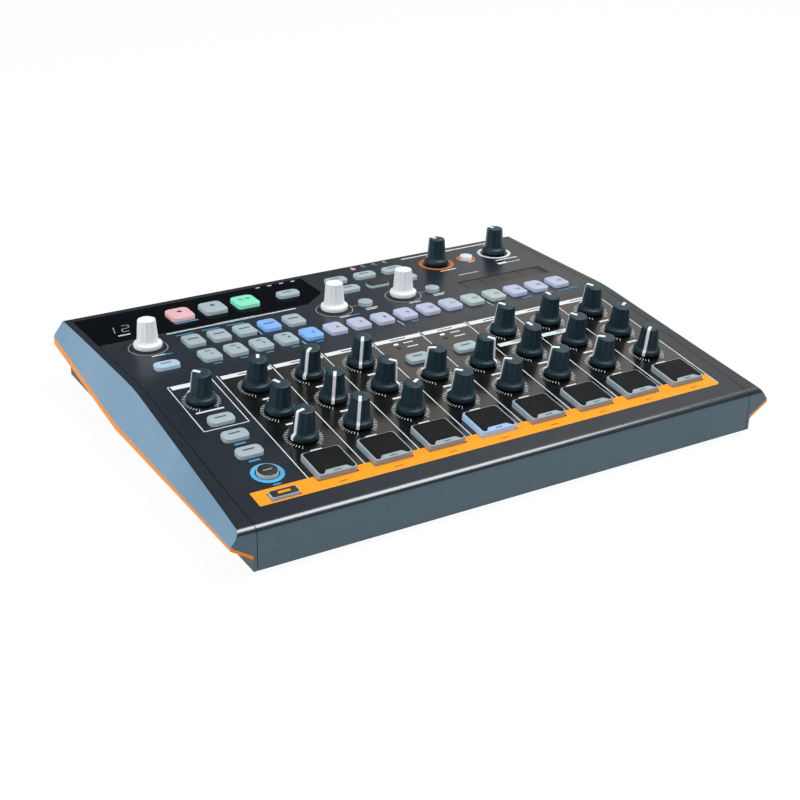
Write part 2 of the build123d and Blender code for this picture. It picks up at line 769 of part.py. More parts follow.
across = (1, 0, 0)
along = (0, 1, 0)
wall_face = panel_half - sheet  # inner face of a side wall
screw_groups = (
    (lip_screw_length, [Plane((x, y, base_z), across, (0, 0, -1)) for x, y in lip_screws]),
    (flange_screw_length, [Plane((x, rear_y, z), across, (0, 1, 0)) for x, z in flange_screws]),
    (board_screw_length, [Plane((x, y, socket_z), across, (0, 0, 1)) for x, y in standoffs]),
    (cheek_screw_length, [Plane((wall_face, y, z), along, (-1, 0, 0)) for y, z in cheek_screws]),
    (cheek_screw_length, [Plane((-wall_face, y, z), along, (1, 0, 0)) for y, z in cheek_screws]),
)
with BuildPart() as case_screws:
    for length, seats in screw_groups:
        for seat in seats:
            add(screw(seat, length))
finish(case_screws.part, "case_screws")

# --- knobs: moulded cap with a rounded skirt, on a plain shaft ------------------------------------
skirt_hollow = 3.6  # depth of the hollow under the skirt
skirt_wall = 2.2
skirt_bevel = (0.9, 1.1)  # across and up, at the skirt's lower edge
skirt_band = 2.2  # height of the skirt's upright face
shoulder = (0.8, 0.6)  # across and up, where the skirt turns into the waist
crown_bevel = (0.3, 0.6)  # across and down, where the flank turns into the top
crown_inset = 0.5
cap_roof = 3.0  # solid plastic over the shaft
shaft_end = rotary_top + 0.4
dark_cap = (skirt_radius, knob_waist_radius, knob_top_radius)
white_cap = (white_skirt_radius, white_waist_radius, white_top_radius)


def knob(plane, place, skirt, waist, top):
    """Knob cap and its shaft as two solids, standing on a panel plane at a place."""
    low = skirt_gap
    high = skirt_gap + knob_height
    bore_top = high - cap_roof
    foot = plane.from_local_coords(Vector(*place, 0))
    axis_plane = Plane(foot, x_dir=plane.x_dir, z_dir=plane.z_dir)
    with BuildPart() as cap:
        with BuildSketch(Plane(foot, x_dir=plane.x_dir, z_dir=-plane.y_dir)):
            with BuildLine():
                Polyline(
                    (shaft_radius, low + skirt_hollow),
                    (skirt - skirt_wall, low + skirt_hollow),
                    (skirt - skirt_wall, low),
                    (skirt - skirt_bevel[0], low),
                    (skirt, low + skirt_bevel[1]),
                    (skirt, low + skirt_band),
                    (waist + shoulder[0], low + skirt_rise),
                    (waist, low + skirt_rise + shoulder[1]),
                    (top + crown_bevel[0], high - crown_bevel[1]),
                    (top - crown_inset, high),
                    (0, high),
                    (0, bore_top),
                    (shaft_radius, bore_top),
                    close=True,
                )
            make_face()
        revolve(axis=Axis(foot, plane.z_dir))
    with BuildPart() as shaft:
        with BuildSketch(axis_plane.offset(shaft_end)):
            Circle(shaft_radius)
        extrude(amount=bore_top - shaft_end)
    return Compound(children=[cap.part, shaft.part])


knob_families = (
    (FRONT, front_knobs, dark_cap),
    (REAR, rear_dark_knobs, dark_cap),
    (REAR, encoders, white_cap),
)
for plane, places, cap_radii in knob_families:
    for name, place in places.items():
        finish(knob(plane, place, *cap_radii), name)

# --- pads: grey frame with a tab at the front, black striking plate let into it -------------------
plate_width = 23.4
plate_depth = 23.0
plate_corner = 1.0
plate_thickness = 1.3
frame_top = 3.7
tab_width = 19.0
tab_taper = 2.6
tab_depth = 3.4
for name, place in pads.items():
    with BuildPart() as pad_frame:
        with BuildSketch(FRONT.offset(-sheet - flange_gap)):
            rounded(pad_width + 2 * flange_width, pad_depth + 2 * flange_width, pad_corner, [place])
        extrude(amount=-pad_flange_thickness)
        with BuildSketch(FRONT.offset(-sheet - flange_gap)):
            rounded(pad_width, pad_depth, pad_corner, [place])
        extrude(amount=frame_top + sheet + flange_gap)
        with BuildSketch(FRONT.offset(frame_top)) as plate_sketch:
            with Locations(place):
                RectangleRounded(plate_width, plate_depth, plate_corner)
                with Locations((0, -plate_depth / 2)):
                    with BuildLine():
                        Polyline(
                            (-tab_width / 2, -cut_above),
                            (tab_width / 2, -cut_above),
                            (tab_width / 2, 0),
                            (tab_width / 2 - tab_taper, tab_depth),
                            (tab_taper - tab_width / 2, tab_depth),
                            (-tab_width / 2, 0),
                            close=True,
                        )
                    make_face(mode=Mode.SUBTRACT)
        extrude(amount=pad_height - plate_thickness - frame_top, mode=Mode.SUBTRACT)
    with BuildPart() as pad_plate:
        with BuildSketch(FRONT.offset(pad_height - plate_thickness)):
            add(plate_sketch.sketch_local)
        extrude(amount=plate_thickness)
    finish(Compound(children=[pad_frame.part, pad_plate.part]), name)


# --- keys and buttons: cap through the panel, on a flange that stops under it ---------------------
button_edge = 0.5  # rounding of a button's upper edge


def button_group(plane, places, outline, proud):
    """Buttons of one outline at several places on a panel plane; outline(extra) draws one of them."""
    with BuildPart() as group:
        with BuildSketch(plane.offset(-sheet - flange_gap)):
            with Locations(*places):
                outline(flange_width)
        extrude(amount=-flange_thickness)
        with BuildSketch(plane.offset(-sheet - flange_gap)):
            with Locations(*places):
                outline(0)
        extrude(amount=proud + sheet + flange_gap)
        tops = group.faces().filter_by(
            lambda face: abs(plane.to_local_coords(face.center()).Z - proud) < tolerance
        )
        fillet(tops.edges(), button_edge)
    return group.part


def key_outline(extra):
    """Step or function key."""
    RectangleRounded(key_width + 2 * extra, key_depth + 2 * extra, key_corner)


def transport_outline(extra):
    """Record, stop or play key."""
    RectangleRounded(transport_width + 2 * extra, transport_depth + 2 * extra, key_corner)


def pill_outline(extra):
    """Pill-shaped button."""
    RectangleRounded(pill_width + 2 * extra, pill_depth + 2 * extra, pill_corner)


def bank_outline(extra):
    """Low rectangular bank button."""
    RectangleRounded(bank_size[0] + 2 * extra, bank_size[1] + 2 * extra, bank_corner)


def accent_outline(extra):
    """Large round accent button."""
    Circle(accent_radius + extra)


def small_round_outline(extra):
    """Small round button beside an encoder."""
    Circle(small_round_radius + extra)


def drive_switch_outline(extra):
    """Round switch beside the drive knob."""
    Circle(drive_switch_radius + extra)


for name, place in zip(("record_key", "stop_key", "play_key"), transport_keys):
    finish(button_group(REAR, [place], transport_outline, transport_proud), name)

with BuildPart() as square_keys:
    add(button_group(REAR, step_keys + function_keys, key_outline, key_proud))
finish(square_keys.part, "square_keys")

with BuildPart() as pill_buttons:
    add(button_group(FRONT, front_pills, pill_outline, pill_proud))
    add(button_group(REAR, rear_pills, pill_outline, pill_proud))
finish(pill_buttons.part, "pill_buttons")

with BuildPart() as small_buttons:
    add(button_group(FRONT, [accent_button], accent_outline, small_proud))
    add(button_group(FRONT, [bank_button], bank_outline, bank_proud))
    add(button_group(REAR, small_rounds, small_round_outline, small_proud))
    add(button_group(REAR, [drive_switch], drive_switch_outline, small_proud))
finish(small_buttons.part, "small_buttons")

# --- supply push button through the rear wall -----------------------------------------------------
power_proud = 2.4
with BuildPart() as power_button:
    with BuildSketch(Plane.XZ.offset(-power_flange_y)):
        rounded(power_size + 2 * flange_width, power_size + 2 * flange_width, power_corner, [power_place])
    extrude(amount=-flange_thickness)
    with BuildSketch(Plane.XZ.offset(-power_flange_y)):
        rounded(power_size, power_size, power_corner, [power_place])
    extrude(amount=power_flange_y - rear_y - power_proud)
    fillet(power_button.faces().sort_by(Axis.Y)[-1].edges(), button_edge)
finish(power_button.part, "power_button")
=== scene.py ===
"""Looks of the table-top drum machine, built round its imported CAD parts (metres, same frame)."""

import json
from math import atan2, cos, pi, radians, sin, tan

import bmesh
import bpy
from mathutils import Matrix, Vector


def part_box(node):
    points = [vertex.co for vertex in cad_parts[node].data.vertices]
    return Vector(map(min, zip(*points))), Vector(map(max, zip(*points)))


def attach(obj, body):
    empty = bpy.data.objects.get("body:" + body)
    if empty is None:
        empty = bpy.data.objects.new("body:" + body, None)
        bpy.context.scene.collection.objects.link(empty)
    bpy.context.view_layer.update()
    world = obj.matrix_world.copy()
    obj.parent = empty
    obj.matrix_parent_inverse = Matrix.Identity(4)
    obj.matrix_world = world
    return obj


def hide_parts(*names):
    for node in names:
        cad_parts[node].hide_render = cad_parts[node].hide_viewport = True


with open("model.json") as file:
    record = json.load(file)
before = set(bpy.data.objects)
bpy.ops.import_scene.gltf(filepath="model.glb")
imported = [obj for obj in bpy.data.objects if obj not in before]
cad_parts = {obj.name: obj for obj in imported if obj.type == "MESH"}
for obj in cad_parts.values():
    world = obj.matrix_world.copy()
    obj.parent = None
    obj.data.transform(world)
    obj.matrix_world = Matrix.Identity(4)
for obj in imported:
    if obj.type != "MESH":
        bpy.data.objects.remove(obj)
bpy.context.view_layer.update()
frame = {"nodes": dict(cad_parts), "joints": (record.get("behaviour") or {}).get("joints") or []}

MM = 0.001
nodes = frame["nodes"]


# --- Tray ---------------------------------------------------------------------------------------
# Floor, side walls and rear wall are one folded steel sheet with a fine black powder coat.
# It is screwed to the top panel along the front lip and the rear flange.
class Wire:
    """One shader value. Python operators on it add Math nodes, and node() adds any other node."""

    def __init__(self, socket):
        self.socket = socket

    def node(self, kind, settings=None, output=0, **inputs):
        """Add a node: its settings first, then values or wires for its inputs, named or i0, i1 ..."""
        tree = self.socket.id_data
        made = tree.nodes.new(kind)
        for key, value in (settings or {}).items():
            if key == "stops":
                for stop, (position, colour) in zip(made.color_ramp.elements, value):
                    stop.position = position
                    stop.color = colour
            else:
                setattr(made, key, value)
        for key, value in inputs.items():
            numbered = key[0] == "i" and key[1:].isdigit()
            target = made.inputs[int(key[1:]) if numbered else key.replace("_", " ")]
            if isinstance(value, Wire):
                tree.links.new(value.socket, target)
            else:
                target.default_value = value
        return Wire(made.outputs[output])

    def maths(self, operation, first, second=0.0):
        """A Math node on two values."""
        return self.node("ShaderNodeMath", {"operation": operation}, i0=first, i1=second)

    def __add__(self, other):
        return self.maths("ADD", self, other)

    def __radd__(self, other):
        return self.maths("ADD", other, self)

    def __sub__(self, other):
        return self.maths("SUBTRACT", self, other)

    def __rsub__(self, other):
        return self.maths("SUBTRACT", other, self)

    def __mul__(self, other):
        return self.maths("MULTIPLY", self, other)

    def __rmul__(self, other):
        return self.maths("MULTIPLY", other, self)

    def __gt__(self, other):
        return self.maths("GREATER_THAN", self, other)

    def __lt__(self, other):
        return self.maths("LESS_THAN", self, other)


def linear(code):
    """Linear colour of a hexadecimal display colour such as "3a4046"."""
    channels = [int(code[i : i + 2], 16) / 255 for i in (0, 2, 4)]
    return (*(c / 12.92 if c < 0.04045 else ((c + 0.055) / 1.055) ** 2.4 for c in channels), 1.0)


def blended(share, first, second):
    """Mix two colours by a share wire."""
    settings = {"data_type": "RGBA"}
    return share.node("ShaderNodeMix", settings, output=2, i0=share, i6=first, i7=second)


def noise(wire, where, scale, detail=3.0, roughness=0.55):
    """Noise of a size given in millimetres, 0 to 1."""
    return wire.node(
        "ShaderNodeTexNoise",
        Vector=where,
        Scale=1 / (scale * MM),
        Detail=detail,
        Roughness=roughness,
    )


def new_paint(name):
    """An empty material, the object-space place on it and its shader."""
    material = bpy.data.materials.new(name)
    material.use_nodes = True
    tree = material.node_tree
    tree.nodes.clear()
    shader = tree.nodes.new("ShaderNodeBsdfPrincipled")
    output = tree.nodes.new("ShaderNodeOutputMaterial")
    tree.links.new(shader.outputs[0], output.inputs[0])
    place = Wire(tree.nodes.new("ShaderNodeTexCoord").outputs["Object"])
    return material, place, shader


def connect(wire, shader, name):
    """Feed a wire to one of the shader's sockets."""
    wire.socket.id_data.links.new(wire.socket, shader.inputs[name])


def scuffs(place, amount=0.5):
    """Wear: sparse rubbed spots and short hairlines, 0 to amount."""
    rubbed = noise(place, place, 6.0, detail=6.0, roughness=0.7) > 0.62
    stretch = (1.0, 14.0, 6.0)
    stretched = place.node("ShaderNodeMapping", Vector=place, Rotation=(0.0, 0.0, 0.6), Scale=stretch)
    hairlines = noise(place, stretched, 9.0, detail=4.0) > 0.66
    return amount * rubbed * (0.4 + 0.6 * hairlines)


def part_of(wire, axis):
    """The x, y or z part of a place or direction."""
    return wire.node("ShaderNodeSeparateXYZ", output="xyz".index(axis), Vector=wire)


def finish_paint(
    name, code, rough, grain, depth, mottle=0.12, patch=30.0, sheen=0.5, wear=0.5, **shader_values
):
    """Coated or moulded finish: colour mottled in patches, pale dull scuffs and a fine grain."""
    material, place, shader = new_paint(name)
    colour = linear(code)
    patches = noise(place, place, patch)
    fine = noise(place, place, grain, detail=2.0)
    worn = scuffs(place, wear)
    dark = tuple(c * (1 - mottle) for c in colour[:3]) + (1.0,)
    light = tuple(min(1.0, c * (1 + mottle)) for c in colour[:3]) + (1.0,)
    rubbed = tuple(0.9 * c + 0.03 for c in colour[:3]) + (1.0,)
    connect(blended(worn, blended(patches, dark, light), rubbed), shader, "Base Color")
    connect(rough * (0.85 + 0.2 * patches + 0.1 * fine + 0.2 * worn), shader, "Roughness")
    shader.inputs["Specular IOR Level"].default_value = sheen
    bump = place.node("ShaderNodeBump", Height=fine, Strength=0.35, Distance=depth * MM)
    connect(bump, shader, "Normal")
    for key, value in shader_values.items():
        shader.inputs[key.replace("_", " ")].default_value = value
    return material


def faint_glow(code, strength):
    """Shader values of a faint glow in a display colour: a real glow on the display and the lamps, painted
    light on the orange trim and the orange print.
    """
    return {"Emission_Color": linear(code), "Emission_Strength": strength}


def dress(node, material):
    """Give a CAD node its finish."""
    slots = nodes[node].data.materials
    slots.clear()
    slots.append(material)


powder_black = finish_paint("powder_black", "34393e", 0.5, 0.35, 0.03)
dress("base_tray", powder_black)


# --- Top panel ----------------------------------------------------------------------------------
# One bent steel sheet with a satin graphite coat and a fine texture; the field of the eight voice
# channels has a darker, browner and slightly glossier overprint. It caps the tray all round.
joints = {joint["child"]: joint for joint in frame["joints"]}
panel_low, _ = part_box("top_panel")


class Field:
    """A flat field of the panel; a place on it is millimetres across and up its slope."""

    def __init__(self, moving_body, start_y):
        self.normal = Vector(joints[moving_body]["axis"]).normalized()
        self.tilt = atan2(-self.normal.y, self.normal.z)
        self.up_slope = Vector((0, cos(self.tilt), sin(self.tilt)))
        through = Vector(joints[moving_body]["pos_m"])
        rise = (start_y - through.y) * tan(self.tilt)
        self.start = Vector((0, start_y, through.z + rise))

    def at(self, across, run, lift=0.0):
        """Point in metres, lifted off the field by lift millimetres."""
        return self.start + MM * (Vector((across, 0, 0)) + run * self.up_slope + lift * self.normal)

    def place_of(self, body):
        """Where a turning body's axis meets the field: across and run in millimetres."""
        foot = Vector(joints[body]["pos_m"]) - self.start
        return foot.x / MM, foot.dot(self.up_slope) / MM


front = Field("knob_level_1", panel_low.y)
level_rear = Field("encoder_tempo", panel_low.y)
fold_depth = (level_rear.start.z - front.start.z) / (tan(front.tilt) - tan(level_rear.tilt))
rear = Field("encoder_tempo", panel_low.y + fold_depth)

channel_edges = [-133.8 + 38.12 * i for i in range(9)]
channel_runs = (32.2, 158.9)
overprint_low = front.at(channel_edges[0], channel_runs[0])
overprint_high = front.at(channel_edges[-1], channel_runs[1])


def inside(wire, low, high):
    """1 between two values, else 0."""
    return (wire > low) * (wire < high)


def graphite(place, patches):
    """Colour of the graphite coat, painted paler on the upright front face as painted light, and the rubbed
    front fold.
    """
    frontward = part_of(place.node("ShaderNodeNewGeometry", output="Normal"), "y")
    level = blended(patches, linear("1a232c"), linear("202a34"))
    # painted light: the upright front face takes the paler blue-grey 5a727f in place of the light that
    # falls on it
    return blended(frontward < -0.9, level, linear("5a727f")), inside(frontward, -0.9, -0.15)


def polish(glossy, shader):
    """Dull lacquer with a glossier film on it where the mask says so."""
    connect(glossy, shader, "Coat Weight")
    shader.inputs["Coat Roughness"].default_value = 0.2
    shader.inputs["Coat IOR"].default_value = 2.0
    shader.inputs["Specular IOR Level"].default_value = 0.38


def panel_paint():
    """Graphite coat with the channel overprint, and painted light on the upright front face."""
    material, place, shader = new_paint("graphite_coat")
    x, y, z = (part_of(place, axis) for axis in "xyz")
    channels = inside(x, overprint_low.x, overprint_high.x)
    channels = channels * inside(y, overprint_low.y, overprint_high.y) * (z > front.start.z)
    patches = noise(place, place, 45.0)
    fine = noise(place, place, 0.3, detail=2.0)
    coat, fold = graphite(place, patches)
    brown = blended(patches, linear("0e0d0c"), linear("141210"))
    worn = scuffs(place, 0.4)
    connect(blended(worn, blended(channels, coat, brown), linear("2b3238")), shader, "Base Color")
    connect(0.3 + 0.05 * patches + 0.1 * worn - 0.1 * channels, shader, "Roughness")
    connect(place.node("ShaderNodeBump", Height=fine, Strength=0.25, Distance=0.01 * MM), shader, "Normal")
    polish(fold + 0.25 * channels, shader)
    return material


dress("top_panel", panel_paint())

# --- Side cheeks and trims ----------------------------------------------------------------------
# Wedge-shaped mouldings screwed to the tray's side walls: a graphite band level with the panel over a
# steel-blue flare, whose pale blue is painted sheen of the light from the left. An orange strip is clipped
# into the groove under the flare's edge.


def cheek_paint():
    """Graphite on the level band and the ends, painted paler on the upright front ends as painted light,
    and satin blue on the flare, whose pale steel blue is painted sheen of the light from the left.
    """
    material, place, shader = new_paint("cheek_satin")
    facing = place.node("ShaderNodeNewGeometry", output="Normal")
    across = part_of(facing, "x")
    flare = (across * across > 0.3) * (part_of(facing, "z") > 0.2)
    patches = noise(place, place, 60.0)
    fine = noise(place, place, 0.4, detail=2.0)
    worn = scuffs(place, 0.15)
    coat, fold = graphite(place, patches)
    polish(fold, shader)
    # painted sheen: the flare's pale steel blue stands for the light from the left on its darker satin side
    blue = blended(patches, linear("749ab6"), linear("9fc2db"))
    connect(blended(worn, blended(flare, coat, blue), linear("5b6a76")), shader, "Base Color")
    connect(0.3 + 0.08 * patches + 0.1 * worn, shader, "Roughness")
    connect(place.node("ShaderNodeBump", Height=fine, Strength=0.3, Distance=0.02 * MM), shader, "Normal")
    return material


cheek_satin = cheek_paint()
dress("left_cheek", cheek_satin)
dress("right_cheek", cheek_satin)
# painted light: the faint orange glow brightens the trim, which is no lamp, where the sides get little
# light
orange_trim = finish_paint(
    "orange_trim",
    "ff9216",
    0.45,
    0.5,
    0.02,
    mottle=0.05,
    sheen=0.2,
    wear=0.15,
    **faint_glow("ffa020", 0.14),
)
dress("side_trims", orange_trim)

# --- Feet and screws ----------------------------------------------------------------------------
# Four rubber feet glued under the tray, and black zinc-plated button-head screws that hold the
# panel, the cheeks and the main board.
dress("rubber_feet", finish_paint("foot_rubber", "1b1b1c", 0.8, 0.6, 0.08))
dress("case_screws", finish_paint("black_zinc", "3a3b3d", 0.35, 0.2, 0.01, Metallic=1.0))

# --- Boards and what they carry -----------------------------------------------------------------
# Green glass-fibre boards under the panel carry the potentiometers with their steel bushings and nuts,
# the key switches and the display block; the main board carries the sockets.
board_green = finish_paint("board_green", "1f5138", 0.4, 1.2, 0.02, mottle=0.2, patch=6.0)
dress("control_boards", board_green)
dress("main_board", board_green)
dress("rotary_bodies", finish_paint("plated_steel", "a5a7a8", 0.3, 0.3, 0.01, Metallic=1.0))
dress("key_switches", finish_paint("switch_black", "1d1d1e", 0.5, 0.3, 0.02))
dress("display_module", finish_paint("display_black", "141214", 0.3, 0.4, 0.01))

# --- Rear sockets and supply button -------------------------------------------------------------
# Nickel-plated jack bushings with nuts, black data and supply sockets, and a square push button
# through the rear wall.
dress("signal_jacks", finish_paint("nickel", "c4c3bf", 0.25, 0.3, 0.01, Metallic=1.0))
dress("data_power_sockets", finish_paint("socket_black", "202022", 0.45, 0.4, 0.02))
dress("power_button", finish_paint("button_black", "232426", 0.4, 0.3, 0.02))

# --- Display window -----------------------------------------------------------------------------
# Black acrylic sheet let into the rear left of the panel over the display block, with a white rule in
# front of it. The lit segments and marks show through the acrylic.
window_acrylic = finish_paint("window_acrylic", "03080c", 0.14, 0.8, 0.002, sheen=0.03, wear=0.2)
dress("display_window", window_acrylic)


def bar(across, run, width, depth, slant=0.0):
    """Four corners of an upright or slanted bar about its centre."""
    half = width / 2
    low = run - depth / 2
    high = run + depth / 2
    return [
        (across - half, low),
        (across + half, low),
        (across + half + slant, high),
        (across - half + slant, high),
    ]


def box_of(left, right, low, high):
    """Four corners of a bar between two columns and two runs."""
    return [(left, low), (right, low), (right, high), (left, high)]


def ring(across, run, inner, outer, steps=64):
    """Quads of a flat ring."""
    turns = [2 * pi * i / steps for i in range(steps + 1)]
    spokes = [(sin(t), cos(t)) for t in turns]
    quads = []
    for (s0, c0), (s1, c1) in zip(spokes[1:], spokes):
        radii = ((inner, s0, c0), (outer, s0, c0), (outer, s1, c1), (inner, s1, c1))
        quads.append([(across + r * s, run + r * c) for r, s, c in radii])
    return quads


def on(field, outlines):
    """Outlines, each with the field that it lies on."""
    return [(field, corners) for corners in outlines]


def stand(name, mesh):
    """New object of a mesh in the scene."""
    piece = bpy.data.objects.new(name, mesh)
    bpy.context.scene.collection.objects.link(piece)
    return piece


def piece_of(name, build, material, smooth_below=0):
    """Object of a finished bmesh; faces that meet at less than smooth_below degrees shade as one."""
    mesh = bpy.data.meshes.new(name)
    build.to_mesh(mesh)
    build.free()
    mesh.materials.append(material)
    if smooth_below:
        mesh.shade_smooth()
        mesh.set_sharp_from_angle(angle=radians(smooth_below))
    return stand(name, mesh)


def screen_ink(name, code, mottle=0.12, **shader_values):
    """Matt ink of the screen print."""
    return finish_paint(name, code, 0.5, 0.4, 0.004, mottle, **shader_values)


def printed(name, material, outlines, lift=0.05):
    """Print on the panel: outlines is a list of (field, corner list) in millimetres."""
    build = bmesh.new()
    for field, corners in outlines:
        build.faces.new([build.verts.new(field.at(*corner, lift)) for corner in corners])
    bmesh.ops.recalc_face_normals(build, faces=build.faces)
    for face in build.faces:
        if face.normal.z < 0:
            face.normal_flip()
    piece = piece_of(name, build, material)
    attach(piece, "housing")
    return piece


def segment_digit(across, run, height, lit, lean=0.25, fill=0.88):
    """Lit bars of one leaning digit: lit names its segments a to g, fill is their share of their cells."""
    width = height * 0.5
    thick = height * 0.09
    half = height / 2
    bars = {
        "a": (0, half, width, thick),
        "g": (0, 0, width, thick),
        "d": (0, -half, width, thick),
        "f": (-width / 2, half / 2, thick, half),
        "b": (width / 2, half / 2, thick, half),
        "e": (-width / 2, -half / 2, thick, half),
        "c": (width / 2, -half / 2, thick, half),
    }
    upright = (bar(*place, fill * w, fill * d) for *place, w, d in (bars[segment] for segment in lit))
    return [[(across + x + lean * y, run + y) for x, y in corners] for corners in upright]


digit_height = 10.5
digit_run = 94.0
digits = segment_digit(-166.4, digit_run, digit_height, "bc")
digits += segment_digit(-155.6, digit_run, digit_height, "abged")
segment_glow = finish_paint("segment_glow", "8b979c", 0.4, 0.5, 0.002, **faint_glow("c8d4d8", 0.1))
printed("display_digits", segment_glow, on(rear, digits))

print_white = screen_ink("print_white", "f3f6f7", 0.04)
print_blue = screen_ink("print_blue", "3d9ccb", 0.06)
window_marks = [bar(-160.5, 83.2, 9.0, 1.4), bar(-150.0, 83.2, 1.2, 2.4, 1.2)]
window_marks += [bar(-41.6 + 9.6 * i, 120.3, 3.4, 1.2) for i in range(4)]
window_rule = [box_of(-135.0, -36.0, 69.6, 71.0), box_of(-98.0, -68.0, 69.2, 71.8)]
printed("window_print", print_white, on(rear, window_marks + window_rule))

# --- Printed rules, bands and rings -------------------------------------------------------------
# Screen print on the coated panel: white frames and header bands round the voice channels, plain white
# and blue bars in the places of the legends, and rings round the turning controls.
rule_width = 0.7
band_low, band_high = 153.0, 157.4
second_ink = 0.08  # height of ink printed over ink
front_white = []
over_orange = 19.5  # where the last rule ends, in the orange band
for edge in channel_edges:
    near = over_orange if edge == channel_edges[-1] else channel_runs[0]
    front_white.append(box_of(edge - rule_width / 2, edge + rule_width / 2, near, channel_runs[1]))
band_marks = []
for left, right in zip(channel_edges, channel_edges[1:]):
    front_white.append(box_of(left + 1.6, right - 1.0, band_low, band_high))
    band_marks.append(bar((left + right) / 2 + 0.3, (band_low + band_high) / 2, 12.0, 1.0))
front_white += [box_of(60.4, 94.2, 118.6, 122.8), box_of(96.6, 118.8, 118.6, 122.8)]

# frame of the metronome control with its tab
frame_left, frame_right, frame_low, frame_high = -168.7, -137.8, 101.2, 157.9
front_white += [
    box_of(frame_left, frame_left + rule_width, frame_low, frame_high),
    box_of(frame_right - rule_width, frame_right, frame_low, frame_high),
    box_of(frame_left, frame_right, frame_low, frame_low + rule_width),
    box_of(frame_left, frame_right, frame_high - rule_width, frame_high),
    box_of(frame_left + 2.2, frame_left + 19.0, frame_high - 4.6, frame_high - rule_width),
]

# plain bars in the places of the legends of the front field
for name in joints:
    if name.startswith(("knob_level", "knob_mid", "knob_high")):
        across, run = front.place_of(name)
        front_white.append(bar(across + 0.5, run - 15.6, 8.0, 1.7))
front_white.append(bar(-155.0, 122.4, 19.0, 1.6))
for across in (4.6, 42.8):
    front_white.append(bar(across, 149.2, 7.6, 1.1))
    front_white.append(bar(across + 0.4, 143.6, 8.6, 1.1))

# plain bars of the rear field: under the encoders and their round buttons, then one by one
encoders = ("encoder_tempo", "encoder_roll", "encoder_swing")
round_places = [(11.4, 53.2), (68.4, 53.4)]
drive_place = (128.4, 99.6)
lamp_columns = [39.6 + 9.6 * i for i in range(4)]
rear_white = []
for encoder in encoders:
    across, run = rear.place_of(encoder)
    rear_white.append(bar(across + 1.0, run - 15.2, 9.5, 1.2))
for across, run in round_places:
    rear_white.append(bar(across + 0.8, run - 8.0, 10.0, 1.1))
    rear_white.append(bar(across - 0.4, run - 10.2, 8.0, 1.1))
rear_white += [
    box_of(83.0, 162.0, 121.2, 122.8),
    box_of(112.0, 128.0, 120.6, 123.2),
    bar(102.5, 84.6, 14.0, 1.3),
    bar(156.0, 84.2, 20.0, 1.5),
    bar(147.5, 77.4, 8.0, 3.0),
    bar(drive_place[0], drive_place[1] - 8.0, 6.0, 1.0),
    box_of(103.0, 121.0, 70.4, 71.2),
    box_of(152.0, 164.0, 76.4, 77.3),
    box_of(-78.3, -77.8, 39.0, 62.0),
]
rear_white += [box_of(x - 0.25, x + 0.25, 5.0, 15.0) for x in (-60.0, 15.4, 90.8)]
rear_white += [bar(x, 124.0, 2.6, 1.0) for x in lamp_columns]
printed("panel_print_white", print_white, on(front, front_white) + on(rear, rear_white))

print_black = screen_ink("print_black", "1d2124", 0.06)
printed("band_marks", print_black, on(front, band_marks), second_ink)

step_places = [(-125.3 + 18.87 * i, 20.8) for i in range(16)]
function_places = [(-124.8 + 19.0 * i, 48.5) for i in range(5)]
rear_blue = [bar(x + 0.5, run + 15.7, 13.0, 1.4) for x, run in function_places[:3]]
rear_blue += [bar(x + 0.6, run - 12.1, 5.6, 1.4) for x, run in [*step_places[:5], step_places[8]]]
rear_blue += [bar(x + 1.6, run - 12.7, 9.0, 1.3) for x, run in step_places[13:15]]
rear_blue += [bar(158.7, 7.6, 19.0, 1.3), bar(-147.6, 38.6, 6.5, 1.3), bar(-5.2, 39.2, 7.5, 1.2)]
front_blue = [bar(-154.0, 81.4, 7.4, 1.8), bar(-154.0, 61.6, 7.4, 1.8), bar(-152.9, 34.2, 5.0, 1.5)]
printed("panel_print_blue", print_blue, on(rear, rear_blue) + on(front, front_blue))
printed("window_print_blue", print_blue, on(rear, [bar(-113.8, 84.8, 17.6, 2.0)]))

orange_low, orange_high, orange_left, orange_right = 18.1, 32.2, -171.7, 170.5
pad_boxes = [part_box(f"pad_{i}") for i in range(1, 9)]
pad_front_run = (pad_boxes[0][0].y - front.start.y) / MM / cos(front.tilt) + 0.6
bank_place = (-153.8, 23.6)
bank_opening = (bank_place[0] - 9.5, bank_place[0] + 9.5, bank_place[1] - 4.2, bank_place[1] + 4.2)
orange_openings = [bank_opening]
for low, high in pad_boxes:
    orange_openings.append((low.x / MM + 0.7, high.x / MM - 0.7, pad_front_run, orange_high))
orange_print = []
reached = orange_left
for left, right, nearest, farthest in orange_openings:
    orange_print.append(box_of(reached, left, orange_low, orange_high))
    orange_print.append(box_of(left, right, orange_low, nearest))
    if farthest < orange_high:
        orange_print.append(box_of(left, right, farthest, orange_high))
    reached = right
orange_print.append(box_of(reached, orange_right, orange_low, orange_high))
# painted light: the faint orange glow brightens the print, which is no lamp
print_orange = screen_ink("print_orange", "ff9d20", 0.03, sheen=0.2, **faint_glow("ff9d20", 0.25))
printed("panel_print_orange", print_orange, on(front, orange_print))
pad_marks = [bar((low.x + high.x) / 2 / MM, 21.6, 6.0, 0.9) for low, high in pad_boxes]
print_brown = screen_ink("print_brown", "a0661a", 0.06)
printed("pad_front_marks", print_brown, on(front, pad_marks), second_ink)

